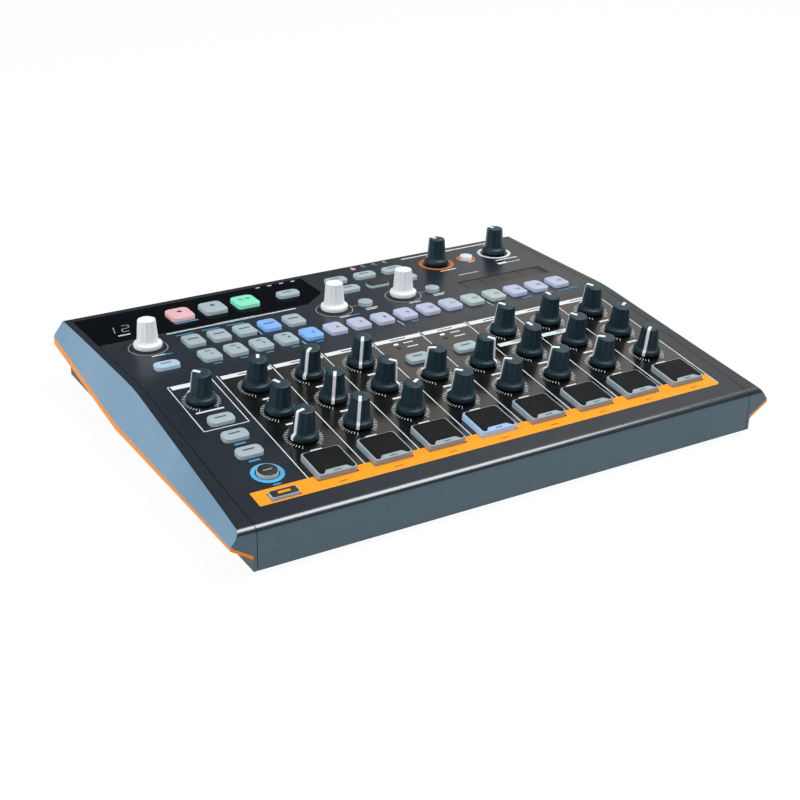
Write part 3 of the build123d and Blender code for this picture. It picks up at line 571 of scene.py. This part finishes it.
ring_grey = screen_ink("ring_grey", "b4bcc0")
ring_orange = screen_ink("ring_orange", "d9721c")
ring_blue = screen_ink("ring_blue", "55bdf0")
accent_place = (-153.0, 46.6)
encoder_rings = []
for encoder in encoders:
    encoder_rings += ring(*rear.place_of(encoder), 12.9, 13.4)
for encoder, (button_across, _) in zip(encoders[1:], round_places):
    across, run = rear.place_of(encoder)
    encoder_rings.append(box_of(across + 13.2, button_across - 5.4, run - 1.0, run - 0.5))
drive_rings = ring(*rear.place_of("knob_drive"), 10.8, 13.7) + ring(*drive_place, 5.4, 7.4)
printed("encoder_rings", ring_grey, on(rear, encoder_rings))
printed("volume_ring", print_white, on(rear, ring(*rear.place_of("knob_volume"), 10.8, 13.2)))
printed("drive_rings", ring_orange, on(rear, drive_rings))
printed("accent_ring", ring_blue, on(front, ring(*accent_place, 7.5, 10.2)))

# --- Touch strip --------------------------------------------------------------------------------
# Matt black sensor plate sunk in its opening, with slightly lighter touch zones printed on it.
dress("touch_strip", finish_paint("sensor_black", "26262a", 0.55, 0.4, 0.02))
zone_grey = finish_paint("zone_grey", "3c3a3a", 0.5, 0.4, 0.01)
touch_lift = -0.45
zones = [box_of(left, right, 43.6, 57.6) for left, right in ((96, 111), (113, 128), (130, 145), (147, 162))]
printed("touch_zones", zone_grey, on(rear, zones), touch_lift)


# --- Step and function keys ---------------------------------------------------------------------
# Translucent silicone keys in two rows, one rubber mat behind the panel, lit from below: most show the
# pale grey of the rubber, the steps in play glow lavender and blue.
def add_socket(tree, name, kind, in_out="INPUT"):
    """Add a socket to a node group."""
    return tree.interface.new_socket(name, in_out=in_out, socket_type=kind)


def new_geometry_group(name, sizes):
    """Empty Geometry Nodes group with a geometry input, sizes and a material."""
    tree = bpy.data.node_groups.new(name, "GeometryNodeTree")
    add_socket(tree, "Places", "NodeSocketGeometry")
    for size in sizes:
        add_socket(tree, size, "NodeSocketFloat")
    add_socket(tree, "Finish", "NodeSocketMaterial")
    add_socket(tree, "Geometry", "NodeSocketGeometry", "OUTPUT")
    given = tree.nodes.new("NodeGroupInput")
    return tree, {output.name: Wire(output) for output in given.outputs if output.name}


def close_group(tree, shape, places, tilt, finish):
    """Stand the shape on every place, turned to the field's slope, realised and finished."""
    turn = shape.node("ShaderNodeCombineXYZ", X=tilt)
    copies = shape.node("GeometryNodeInstanceOnPoints", Points=places, Instance=shape, Rotation=turn)
    solid = copies.node("GeometryNodeRealizeInstances", Geometry=copies)
    dressed = solid.node("GeometryNodeSetMaterial", Geometry=solid, Material=finish)
    output = tree.nodes.new("NodeGroupOutput")
    tree.links.new(dressed.socket, output.inputs[0])


def block_group():
    """Soft-edged rounded block; its foot stands on each place."""
    tree, given = new_geometry_group("soft_blocks", ("Width", "Depth", "Corner", "Height", "Soft", "Tilt"))
    width, depth, soft = given["Width"], given["Depth"], given["Soft"]
    outline = width.node("GeometryNodeCurvePrimitiveQuadrilateral", Width=width, Height=depth)
    rounded = outline.node(
        "GeometryNodeFilletCurve",
        {"mode": "POLY"},
        Curve=outline,
        Count=7,
        Radius=given["Corner"],
        Limit_Radius=True,
    )
    foot = rounded.node("GeometryNodeFillCurve", {"mode": "NGONS"}, Curve=rounded)
    floor = foot.node("GeometryNodeFlipFaces", Mesh=foot)
    upright = given["Height"] - soft
    walls = foot.node("GeometryNodeExtrudeMesh", Mesh=foot, Offset_Scale=upright, Individual=False)
    top = Wire(walls.socket.node.outputs["Top"])
    taken = 0.0
    risen = 0.0
    for angle in (pi / 6, pi / 3, pi / 2):
        rise, inset = sin(angle), 1 - cos(angle)
        step = walls.node(
            "GeometryNodeExtrudeMesh",
            Mesh=walls,
            Selection=top,
            Offset_Scale=soft * (rise - risen),
            Individual=False,
        )
        top = Wire(step.socket.node.outputs["Top"])
        shrink_x, shrink_y = (
            side.maths("DIVIDE", side - 2 * inset * soft, side - 2 * taken * soft)
            for side in (width, depth)
        )
        scale = step.node("ShaderNodeCombineXYZ", X=shrink_x, Y=shrink_y, Z=1.0)
        here = step.node("GeometryNodeInputPosition")
        moved = here.node("ShaderNodeVectorMath", {"operation": "MULTIPLY"}, i0=here, i1=scale)
        walls = step.node("GeometryNodeSetPosition", Geometry=step, Selection=top, Position=moved)
        taken, risen = inset, rise
    both = walls.node("GeometryNodeJoinGeometry")
    for part in (walls, floor):
        tree.links.new(part.socket, both.socket.node.inputs[0])
    closed = both.node("GeometryNodeMergeByDistance", Geometry=both, Distance=1e-6)
    close_group(tree, closed, given["Places"], given["Tilt"], given["Finish"])
    return tree


soft_blocks = block_group()
crease = 32  # degrees; a soft part's faces that meet at less shade as one


def stamped(name, body, group, places, finish, **sizes):
    """Run a Geometry Nodes group on a set of places and keep the result as a plain mesh."""
    mesh = bpy.data.meshes.new(name)
    mesh.from_pydata(places, [], [])
    piece = stand(name, mesh)
    modifier = piece.modifiers.new("make", "NODES")
    modifier.node_group = group
    for item in group.interface.items_tree:
        if item.in_out == "INPUT" and item.name in sizes:
            modifier[item.identifier] = sizes[item.name]
        if item.in_out == "INPUT" and item.name == "Finish":
            modifier[item.identifier] = finish
    graph = bpy.context.evaluated_depsgraph_get()
    made = bpy.data.meshes.new_from_object(piece.evaluated_get(graph))
    made.name = name
    piece.modifiers.clear()
    piece.data = made
    made.shade_smooth()
    made.set_sharp_from_angle(angle=radians(crease))
    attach(piece, body)
    return piece


mat_lift = -2.5  # where rubber parts start, on their mat below the panel


def blocks(name, body, field, places, size, height, finish, lift=mat_lift, soft=0.5):
    """Soft-edged blocks on a field; size is width, depth and corner, height counts from the field."""
    return stamped(
        name,
        body,
        soft_blocks,
        [field.at(*place, lift) for place in places],
        finish,
        Width=size[0] * MM,
        Depth=size[1] * MM,
        Corner=size[2] * MM,
        Height=(height - lift) * MM,
        Soft=soft * MM,
        Tilt=field.tilt,
    )


def rubber(name, code, glow=0.0, painted_side_light=0.2):
    """Translucent silicone: soft scatter, lit from below, and brighter at the sides through painted light,
    an emission stronger on the sides than on the top.
    """
    material = finish_paint(
        name,
        code,
        0.5,
        0.3,
        0.01,
        mottle=0.05,
        patch=9.0,
        Subsurface_Weight=0.15,
        Subsurface_Radius=(0.8 * MM, 0.8 * MM, 0.8 * MM),
        Emission_Strength=1.0,
    )
    facing = Wire(material.node_tree.nodes.new("ShaderNodeNewGeometry").outputs["Normal"])
    red, green, blue, _ = linear(code)
    # painted light: the sides glow more than the top, standing for light falling on the key's sides
    side_glow_and_painted_light, on_top = (
        (share * red, share * green, share * blue, 1.0) for share in (glow + painted_side_light, glow)
    )
    glowing = blended(part_of(facing, "z"), side_glow_and_painted_light, on_top)
    connect(glowing, material.node_tree.nodes["Principled BSDF"], "Emission Color")
    return material


key_size = (13.2, 17.2, 3.2)
key_height = 2.5
ink_lift = 0.03
rubber_grey = rubber("rubber_grey", "b4c3c8")
rubber_blue = rubber("rubber_blue", "86b5f2", 0.12)
rubber_lavender = rubber("rubber_lavender", "bec2da", 0.08)
rubber_sage = rubber("rubber_sage", "bccbc9")
key_groups = (
    ("keys_grey", rubber_grey, [*step_places[:4], *function_places[:3], function_places[4]]),
    ("keys_blue", rubber_blue, [step_places[4], function_places[3]]),
    ("keys_lavender", rubber_lavender, [*step_places[5:11], *step_places[13:]]),
    ("keys_sage", rubber_sage, step_places[11:13]),
)
for name, finish, places in key_groups:
    keys = blocks(name, "square_keys", rear, places, key_size, key_height, finish)
    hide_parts("square_keys")

ink = finish_paint("key_ink", "33383b", 0.6, 0.4, 0.004)
stroke_gain = 0.1  # added to both sides of a numeral's strokes


def figures(name, body, field, marks, size, material):
    """Plain numerals on a field: marks is a list of (text, across, run, lift)."""
    build = bmesh.new()
    for text, across, run, lift in marks:
        curve = bpy.data.curves.new(name, "FONT")
        curve.body = text
        curve.size = size * MM
        curve.offset = stroke_gain * MM
        curve.align_x = "CENTER"
        curve.align_y = "CENTER"
        letter = bpy.data.objects.new(name, curve)
        flat = bpy.data.meshes.new_from_object(letter)
        turn = Matrix.Translation(field.at(across, run, lift)) @ Matrix.Rotation(field.tilt, 4, "X")
        flat.transform(turn)
        build.from_mesh(flat)
        bpy.data.objects.remove(letter)
        bpy.data.meshes.remove(flat)
    piece = piece_of(name, build, material)
    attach(piece, body)
    return piece


key_ink = key_height + ink_lift
step_marks = [(str(i + 1), x + 1.6, run - 0.6, key_ink) for i, (x, run) in enumerate(step_places)]
figures("step_numerals", "square_keys", rear, step_marks, 4.6, ink)
key_marks = [bar(x + 0.2, run + 4.4, 3.6, 1.3) for x, run in step_places[:4]]
key_marks += [bar(x + 0.2, run + 0.8, 8.0, 1.5) for x, run in function_places]
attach(printed("key_marks", ink, on(rear, key_marks), key_ink), "square_keys")

# --- Transport keys -----------------------------------------------------------------------------
# Three larger silicone keys come up through the acrylic: record glows rose, stop is pale grey, and play
# glows green. Each carries its usual sign.
transport_size = (17.3, 19.2, 4.0)
transport_height = 2.7
transport_places = [(-113.8 + 25.3 * i, 96.6) for i in range(3)]
transport_finishes = (
    ("record_key", rubber("rubber_rose", "eab9bd", 0.12), "record"),
    ("stop_key", rubber_grey, "key"),
    ("play_key", rubber("rubber_green", "8eecc9", 0.1), "play"),
)
for (node, finish, slot), place in zip(transport_finishes, transport_places):
    key = blocks(f"{node}_cap", node, rear, [place], transport_size, transport_height, finish, soft=0.7)
    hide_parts(node)


def disc(across, run, radius, steps=32):
    """Corners of a round mark."""
    turns = [2 * pi * i / steps for i in range(steps)]
    return [(across + radius * sin(turn), run + radius * cos(turn)) for turn in turns]


def sign(node, outlines):
    """A sign printed on a transport key."""
    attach(printed(f"{node}_sign", ink, on(rear, outlines), transport_height + ink_lift), node)


(record_x, key_run), (stop_x, _), (play_x, _) = transport_places
sign_run = key_run + 2.2
play_tip = play_x + 5.4
sign("record_key", [disc(record_x + 0.6, sign_run, 1.7)])
sign("stop_key", [bar(stop_x + 0.6, sign_run, 3.0, 3.0)])
play_wedge = [(play_tip - 3.0, sign_run - 1.6), (play_tip, sign_run), (play_tip - 3.0, sign_run + 1.6)]
play_bars = [bar(play_x + x, sign_run, 0.7, 3.0) for x in (-3.2, -1.6)]
sign("play_key", [play_wedge, *play_bars, bar(play_x + 0.6, sign_run, 0.5, 3.6, 1.2)])

# --- Pill-shaped buttons ------------------------------------------------------------------------
# The same silicone in a pill shape: tap beside the tempo encoder, pattern and bank buttons at the rear,
# and the song, mute and solo buttons of the front field.
pill_size = (17.1, 10.3, 3.7)
pill_height = 2.4
tap_place = (-156.5, 19.3)
grid_places = [(14.5 + 24.6 * i, 83.3 + 19.6 * j) for i in range(3) for j in range(2)]
dark_pill = grid_places.pop(2)
rear_pill_places = [(-29.1, 96.1), *grid_places]
front_pill_places = [*((-153.7, run) for run in (109.1, 89.3, 69.7)), (-1.1, 126.5), (37.1, 126.5)]
rubber_tap = rubber("rubber_tap", "b8d2e8", 0.03)
rubber_black = finish_paint("rubber_black", "262423", 0.5, 0.4, 0.01)
pill_groups = (
    ("pills_rear", rear, rear_pill_places, pill_height, rubber_grey),
    ("pills_front", front, front_pill_places, pill_height, rubber_grey),
    ("pill_tap", rear, [tap_place], pill_height, rubber_tap),
    ("pill_shift_side", rear, [dark_pill], pill_height - 0.7, rubber_grey),
)
for name, field, places, height, finish in pill_groups:
    pills = blocks(name, "pill_buttons", field, places, pill_size, height, finish)
    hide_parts("pill_buttons")
cap_rim = 0.4  # grey left round a black cap
cap_seat = 1.0  # where a black cap starts in its grey skirt
shift_cap = (pill_size[0] - 2 * cap_rim, pill_size[1] - 2 * cap_rim, pill_size[2] - cap_rim)
blocks(
    "pill_shift_top",
    "pill_buttons",
    rear,
    [dark_pill],
    shift_cap,
    pill_height,
    rubber_black,
    lift=cap_seat,
    soft=0.3,
)
pill_marks = on(rear, [bar(x, run + 1.2, 7.5, 1.1) for x, run in [*rear_pill_places, tap_place]])
pill_marks += on(front, [bar(x, run + 1.0, 7.5, 1.2) for x, run in front_pill_places])
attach(printed("pill_marks", ink, pill_marks, pill_height + ink_lift), "pill_buttons")

# --- Small buttons ------------------------------------------------------------------------------
# Round silicone buttons beside the encoders and the drive control, and the accent and bank buttons with
# a black cap let into a grey skirt.
small_height = 2.6
bank_height = 2.2
rubber_ice = rubber("rubber_ice", "cfe0f2", 0.25)
small_groups = (
    ("round_buttons", rear, round_places, (10.6, 10.6, 5.29), small_height, rubber_grey, mat_lift),
    ("drive_button", rear, [drive_place], (9.6, 9.6, 4.79), small_height, rubber_ice, mat_lift),
    ("accent_skirt", front, [accent_place], (13.4, 13.4, 6.69), small_height - 0.3, rubber_grey, mat_lift),
    ("accent_cap", front, [accent_place], (12.4, 12.4, 6.19), small_height, rubber_black, cap_seat),
    ("bank_skirt", front, [bank_place], (18.0, 7.4, 1.0), bank_height - 0.4, rubber_grey, mat_lift),
    ("bank_cap", front, [bank_place], (16.8, 6.2, 0.8), bank_height, rubber_black, cap_seat),
)
for name, field, places, size, height, finish, lift in small_groups:
    button = blocks(name, "small_buttons", field, places, size, height, finish, lift=lift, soft=0.35)
    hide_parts("small_buttons")
bank_bar = on(front, [bar(*bank_place, 8.0, 2.0)])
accent_bar = on(front, [bar(*accent_place, 6.0, 0.8)])
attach(printed("bank_mark", print_orange, bank_bar, bank_height + ink_lift), "small_buttons")
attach(printed("accent_mark", ring_grey, accent_bar, small_height + ink_lift), "small_buttons")

# --- Pads ---------------------------------------------------------------------------------------
# Eight striking pads: a pale translucent rubber frame with a small tab at the front, and a black rubber
# plate let into it. The frame glows when its pad is chosen; here the fourth one does.
pad_frame_size = (26.4, 25.4, 2.4)
frame_height = 3.7
pad_height = 4.0
plate_width, plate_depth = 24.0, 23.4
plate_foot = 2.6
tab_width, tab_taper, tab_depth = 19.0, 2.6, 3.4
# both frames take painted light on their sides; the chosen blue one also glows for real
frame_grey = rubber("frame_grey", "a8b6be", painted_side_light=0.06)
frame_blue = rubber("frame_blue", "a6c6ea", 0.12)
plate_black = finish_paint("plate_black", "151515", 0.6, 0.5, 0.03, mottle=0.06, sheen=0.14)


def plate_outline(corner=1.7, steps=5):
    """Plate corners about its centre, rounded at the back, with the tab's notch at the front."""
    half_width, half_depth = plate_width / 2, plate_depth / 2
    points = []
    for side_x, side_y, first in ((1, -1, -90), (1, 1, 0), (-1, 1, 90), (-1, -1, 180)):
        for i in range(steps + 1):
            turn = radians(first + 90 * i / steps)
            centre_x = side_x * (half_width - corner)
            centre_y = side_y * (half_depth - corner)
            points.append((centre_x + corner * cos(turn), centre_y + corner * sin(turn)))
    notch = (
        (-tab_width / 2, -half_depth),
        (tab_taper - tab_width / 2, tab_depth - half_depth),
        (tab_width / 2 - tab_taper, tab_depth - half_depth),
        (tab_width / 2, -half_depth),
    )
    return [*points, *notch]


def soft_prism(name, field, centre, outline, low, high, soft, material):
    """Upright prism on a field with its upper rim rounded."""
    build = bmesh.new()
    across, run = centre
    foot = [build.verts.new(field.at(across + x, run + y, low)) for x, y in outline]
    head = [build.verts.new(field.at(across + x, run + y, high)) for x, y in outline]
    build.faces.new(list(reversed(foot)))
    top = build.faces.new(head)
    for i, corner in enumerate(foot):
        after = (i + 1) % len(foot)
        build.faces.new((corner, foot[after], head[after], head[i]))
    rim = list(top.edges)
    bmesh.ops.bevel(build, geom=rim, offset=soft * MM, segments=2, profile=0.6, affect="EDGES")
    bmesh.ops.recalc_face_normals(build, faces=build.faces)
    return piece_of(name, build, material, crease)


lit_pad = 4
pad_run = 39.5
tab_mark_run = 28.6
for i, (low, high) in enumerate(pad_boxes, start=1):
    pad = f"pad_{i}"
    centre = (low.x + high.x) / 2 / MM, pad_run
    finish = frame_blue if i == lit_pad else frame_grey
    rim = blocks(f"{pad}_frame", pad, front, [centre], pad_frame_size, frame_height, finish)
    plate = soft_prism(
        f"{pad}_plate", front, centre, plate_outline(), plate_foot, pad_height, 0.25, plate_black
    )
    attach(plate, pad)
    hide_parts(pad)
    tab_bar = on(front, [bar(centre[0], tab_mark_run, 5.0, 0.8)])
    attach(printed(f"{pad}_mark", ink, tab_bar, frame_height + ink_lift), pad)


# --- Dark knobs ---------------------------------------------------------------------------------
# Soft-touch moulded caps pushed on the potentiometer shafts: a fluted body with a flat top over a
# rounded bell skirt. A white line is moulded in from the top down to the skirt's rim.
def smooth_profile(points, steps=4):
    """Catmull-Rom curve through a list of (radius, height) points."""
    path = [points[0], *points, points[-1]]
    curve = []
    for before, start, end, after in zip(path, path[1:], path[2:], path[3:]):
        for i in range(steps):
            t = i / steps
            point = []
            for a, b, c, d in zip(before, start, end, after):
                square = 2 * a - 5 * b + 4 * c - d
                cube = 3 * b - a - 3 * c + d
                point.append(0.5 * (2 * b + (c - a) * t + square * t**2 + cube * t**3))
            curve.append(tuple(point))
    return [*curve, points[-1]]


def cap_profile(skirt, waist, crown, low, high):
    """Half outline of a cap from its rim to the middle of its top."""
    bell = smooth_profile(
        [
            (skirt - 1.1, low),
            (skirt - 0.3, low + 0.5),
            (skirt, low + 1.5),
            (skirt - 0.05, low + 2.6),
            (skirt - 0.4, low + 3.4),
            (waist + 0.9, low + 4.0),
            (waist + 0.25, low + 4.5),
            (waist, low + 5.2),
        ]
    )
    edge = [(crown + 0.15, high - 0.75), (crown - 0.1, high - 0.25), (crown - 0.6, high)]
    return [(skirt - 2.2, low + 0.3), *bell, *edge, (crown * 0.5, high), (0.0, high)]


def seat_of(body):
    """Where a cap sits: the foot of its joint, with z along the joint's axis."""
    axis = Vector(joints[body]["axis"])
    foot = Matrix.Translation(Vector(joints[body]["pos_m"]))
    return foot @ Matrix.Rotation(atan2(-axis.y, axis.z), 4, "X")


knob_low, knob_high = 0.8, 20.5
flute_low, flute_high = knob_low + 5.0, knob_high - 0.5
flute_depth = 0.4


def cap_mesh(name, body, profile, flutes, material, steps=96):
    """Turned cap with flutes cut into its body."""
    seat = seat_of(body)
    build = bmesh.new()
    rings = []
    for radius, height in profile[:-1]:
        rim = []
        cut = flute_depth if flute_low < height < flute_high else 0.0
        for i in range(steps):
            turn = 2 * pi * i / steps
            reach = radius - cut * abs(sin(turn * flutes / 2))
            spot = Vector((reach * cos(turn), reach * sin(turn), height))
            rim.append(build.verts.new(seat @ (MM * spot)))
        rings.append(rim)
    centre = build.verts.new(seat @ Vector((0, 0, profile[-1][1] * MM)))
    for below, above in zip(rings, rings[1:]):
        for i in range(steps):
            after = (i + 1) % steps
            build.faces.new((below[i], below[after], above[after], above[i]))
    for i in range(steps):
        build.faces.new((rings[-1][i], rings[-1][(i + 1) % steps], centre))
    build.faces.new(list(reversed(rings[0])))
    piece = piece_of(name, build, material, smooth_below=40)
    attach(piece, body)
    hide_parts(body)
    return piece


line_proud = 0.3  # above the cap's surface, and as deep in it
line_width = 2.0
line_start = 1.0  # from the cap's axis
points_below_line = 6  # of a cap's profile
upright_points = 2  # of the line, at its inner end
dark_profile = cap_profile(9.4, 7.2, 6.0, knob_low, knob_high)
knob_black = finish_paint(
    "knob_soft_black", "223c47", 0.42, 0.25, 0.012, mottle=0.08, patch=12.0, sheen=0.4
)


def pointer(name, body, angle, profile, material):
    """White line from the top down the side; angle is clockwise from the rear, in degrees."""
    seat = seat_of(body) @ Matrix.Rotation(radians(-angle), 4, "Z")
    track = [point for point in profile[points_below_line:] if point[0] > line_start]
    track.append((line_start, profile[-1][1]))
    build = bmesh.new()
    rows = []
    for i, (radius, height) in enumerate(track):
        before, after = track[max(i - 1, 0)], track[min(i + 1, len(track) - 1)]
        along = Vector((after[0] - before[0], after[1] - before[1])).normalized()
        outward = Vector((along.y, -along.x))
        if i >= len(track) - upright_points:
            outward = Vector((0, 1))
        top = Vector((radius, height)) + line_proud * outward
        root = Vector((radius, height)) - line_proud * outward
        half = line_width / 2
        corners = ((-half, root), (-half, top), (half, top), (half, root))
        rows.append([build.verts.new(seat @ (MM * Vector((x, at.x, at.y)))) for x, at in corners])
    for first, second in zip(rows, rows[1:]):
        for i in range(4):
            after = (i + 1) % 4
            build.faces.new((first[i], first[after], second[after], second[i]))
    build.faces.new(rows[0])
    build.faces.new(list(reversed(rows[-1])))
    bmesh.ops.recalc_face_normals(build, faces=build.faces)
    piece = piece_of(name, build, material)
    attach(piece, body)
    return piece


def rest_angle(body):
    """Where the pointer stands at rest, from the joint's range of 300 degrees about the rear."""
    low, high = joints[body]["range_deg"]
    return (low + high) / 2


# painted light: a faint white glow brightens the moulded lines, which are no lamps
line_white = finish_paint(
    "pointer_white", "eef0f1", 0.45, 0.3, 0.005, mottle=0.03, Emission_Strength=0.2
)
dark_knobs = sorted(name for name in joints if name.startswith("knob_"))
for knob in dark_knobs:
    cap = cap_mesh(f"{knob}_cap", knob, dark_profile, 10, knob_black)
    pointer(f"{knob}_line", knob, rest_angle(knob), dark_profile, line_white)

# --- Light encoder knobs ------------------------------------------------------------------------
# Ivory caps of the same family on the three endless encoders, a little wider, with broader flutes and
# no pointer.
ivory_profile = cap_profile(9.75, 7.3, 6.0, knob_low, knob_high + 0.1)
# painted light: a faint white glow brightens the ivory caps, which are no lamps
knob_ivory = finish_paint(
    "knob_ivory", "f4f3f3", 0.38, 0.25, 0.01, mottle=0.03, patch=12.0, Emission_Strength=0.2
)
for encoder in encoders:
    cap = cap_mesh(f"{encoder}_cap", encoder, ivory_profile, 12, knob_ivory)


# --- Dial marks ---------------------------------------------------------------------------------
# Short printed white strokes round each channel knob over its turn of 300 degrees, longer at both ends
# and in the middle.
def dial_group():
    """A fan of short strokes on every place."""
    sizes = ("Strokes", "Radius", "Length", "Thickness", "Span", "Tilt")
    tree, given = new_geometry_group("dial_marks", sizes)
    strokes, radius, span = given["Strokes"], given["Radius"], given["Span"]
    points = strokes.node("GeometryNodeMeshLine", Count=strokes, Offset=(0.0, 0.0, 0.0))
    index = points.node("GeometryNodeInputIndex")
    share = index.maths("DIVIDE", index, strokes - 1)
    turn = points.node("ShaderNodeCombineXYZ", Z=share * span - 0.5 * span)
    stroke = points.node(
        "GeometryNodeMeshGrid",
        Size_X=given["Thickness"],
        Size_Y=given["Length"],
        Vertices_X=2,
        Vertices_Y=2,
    )
    shift = points.node("ShaderNodeCombineXYZ", Y=radius)
    out = stroke.node("GeometryNodeTransform", Geometry=stroke, Translation=shift)
    fan = points.node("GeometryNodeInstanceOnPoints", Points=points, Instance=out, Rotation=turn)
    solid = fan.node("GeometryNodeRealizeInstances", Geometry=fan)
    close_group(tree, solid, given["Places"], given["Tilt"], given["Finish"])
    return tree


dial_marks = dial_group()
dial_radius = 9.9
ringed = ("knob_drive", "knob_volume")
ticked = [front.at(*front.place_of(knob), 0.05) for knob in dark_knobs if knob not in ringed]
for name, strokes, length in (("dial_strokes", 31.0, 2.4), ("dial_ends", 3.0, 3.3)):
    stamped(
        name,
        "housing",
        dial_marks,
        ticked,
        print_white,
        Strokes=strokes,
        Radius=(dial_radius + length / 2) * MM,
        Length=length * MM,
        Thickness=0.5 * MM,
        Span=radians(300),
        Tilt=front.tilt,
    )

# --- Indicator lights ---------------------------------------------------------------------------
# Clear light pipes flush in the panel; the one in use glows white or rose and the others look dark.
dress("indicator_lights", finish_paint("pipe_clear", "8d9496", 0.3, 0.3, 0.004))


lens_size = (3.5, 1.7, 0.6)
lens_height = 0.3


def lamp(name, code, glow, field, places):
    """Lens tops over the light pipes."""
    clear = finish_paint(name, code, 0.3, 0.3, 0.004, mottle=0.03, **faint_glow(code, glow))
    lens = blocks(
        f"{name}_lens", "housing", field, places, lens_size, lens_height, clear, lift=0.0, soft=0.1
    )


rear_lamps = [(x, 120.6) for x in lamp_columns]
lamp("lamp_white", "f4f6f8", 0.6, front, [(-5.0, 149.0), (32.2, 149.0)])
lamp("lamp_dark", "1c1b1b", 0.0, front, [(-5.0, 144.3), (32.2, 144.3)])
lamp("lamp_rose", "f3b6dc", 0.6, rear, rear_lamps[:1])
lamp("lamp_off", "70777a", 0.0, rear, rear_lamps[1:])

# --- Studio -------------------------------------------------------------------------------------
# White sweep of paper under and behind the machine, a large soft lamp overhead, two weaker ones at the
# left and at the rear right, and a dim even room that the camera sees as white past the paper.


def sweep_paint():
    """White paper that reads as white to the camera and in reflections and still takes a faint shadow."""
    material = bpy.data.materials.new("paper_sweep")
    material.use_nodes = True
    tree = material.node_tree
    tree.nodes.clear()
    path = Wire(tree.nodes.new("ShaderNodeLightPath").outputs["Is Camera Ray"])
    glossy = Wire(path.socket.node.outputs["Is Glossy Ray"])
    through = Wire(path.socket.node.outputs["Is Transmission Ray"])
    seen = path.maths("MINIMUM", path + glossy + through, 1.0)
    place = Wire(tree.nodes.new("ShaderNodeTexCoord").outputs["Object"])
    fibre = noise(place, place, 2.0)
    paper = blended(fibre, linear("e6e6e6"), linear("eeeeee"))
    matt = path.node("ShaderNodeBsdfDiffuse", Color=paper)
    glow = path.node("ShaderNodeEmission", Color=(1, 1, 1, 1), Strength=1.03)
    both = path.node("ShaderNodeMixShader", i0=seen * 0.93, i1=matt, i2=glow)
    output = tree.nodes.new("ShaderNodeOutputMaterial")
    tree.links.new(both.socket, output.inputs[0])
    return material


def sweep(size=16.0, rise=0.8, bend=0.6, bend_steps=8):
    """Floor that curves up into a backdrop behind the object."""
    build = bmesh.new()
    rows = [(-size / 2, 0.0)]
    for i in range(bend_steps + 1):
        turn = i * pi / 2 / bend_steps
        rows.append((size / 2 - bend + bend * sin(turn), bend - bend * cos(turn)))
    rows.append((size / 2, rise))
    edges = [[build.verts.new((x, y, z)) for x in (-size / 2, size / 2)] for y, z in rows]
    for first, second in zip(edges, edges[1:]):
        build.faces.new((first[0], first[1], second[1], second[0]))
    floor = piece_of("paper_sweep", build, sweep_paint())
    floor.data.shade_smooth()


sweep()


def soft_lamp(name, at, aim, size, power, colour):
    """Square area lamp aimed at a point."""
    data = bpy.data.lights.new(name, "AREA")
    data.size = size
    data.energy = power
    data.color = colour
    lamp_object = bpy.data.objects.new(name, data)
    lamp_object.location = at
    lamp_object.rotation_euler = (Vector(aim) - Vector(at)).to_track_quat("-Z", "Y").to_euler()
    bpy.context.scene.collection.objects.link(lamp_object)


middle = (0.0, 0.0, 0.03)
soft_lamp("top_lamp", (0.45, -0.15, 1.4), middle, 1.0, 17.5, (0.93, 0.98, 1.0))
soft_lamp("left_lamp", (-1.5, 0.1, 0.9), middle, 1.0, 12.0, (0.9, 0.96, 1.0))
soft_lamp("rear_lamp", (1.4, 1.2, 1.0), middle, 1.2, 4.4, (1.0, 0.92, 0.84))

world = bpy.data.worlds.new("white_room")
world.use_nodes = True
world.node_tree.nodes.clear()
room = world.node_tree.nodes.new("ShaderNodeBackground")
room.inputs["Color"].default_value = (0.95, 0.98, 1.0, 1.0)
room_path = world.node_tree.nodes.new("ShaderNodeLightPath")
in_view = Wire(room_path.outputs["Is Camera Ray"])
world.node_tree.links.new((0.15 + 0.9 * in_view).socket, room.inputs["Strength"])
room_output = world.node_tree.nodes.new("ShaderNodeOutputWorld")
world.node_tree.links.new(room.outputs[0], room_output.inputs[0])
bpy.context.scene.world = world
bpy.context.scene.view_settings.view_transform = "Standard"

# --- Camera -------------------------------------------------------------------------------------
# Long lens from the front left, a little above the machine, as it stands on the table.
eye = MM * Vector((-493.805, -800.576, 466.158))
heading = radians(31.767)
pitch = radians(-26.114)
roll = radians(1.653)
image_width = 800
focal_pixels = 1510.778
principal_x, principal_y = 402.312, 397.644

look = Vector((sin(heading) * cos(pitch), cos(heading) * cos(pitch), sin(pitch)))
level_right = look.cross(Vector((0, 0, 1))).normalized()
level_up = level_right.cross(look)
right = cos(roll) * level_right + sin(roll) * level_up
up = -sin(roll) * level_right + cos(roll) * level_up
camera_data = bpy.data.cameras.new("camera")
camera_data.sensor_width = 36.0
camera_data.lens = focal_pixels / image_width * camera_data.sensor_width
camera_data.shift_x = (image_width / 2 - principal_x) / image_width
camera_data.shift_y = (principal_y - image_width / 2) / image_width
camera_data.clip_start = 0.05
camera_data.clip_end = 50.0
camera = bpy.data.objects.new("camera", camera_data)
camera.matrix_world = Matrix.Translation(eye) @ Matrix((right, up, -look)).transposed().to_4x4()
bpy.context.scene.collection.objects.link(camera)
bpy.context.scene.camera = camera
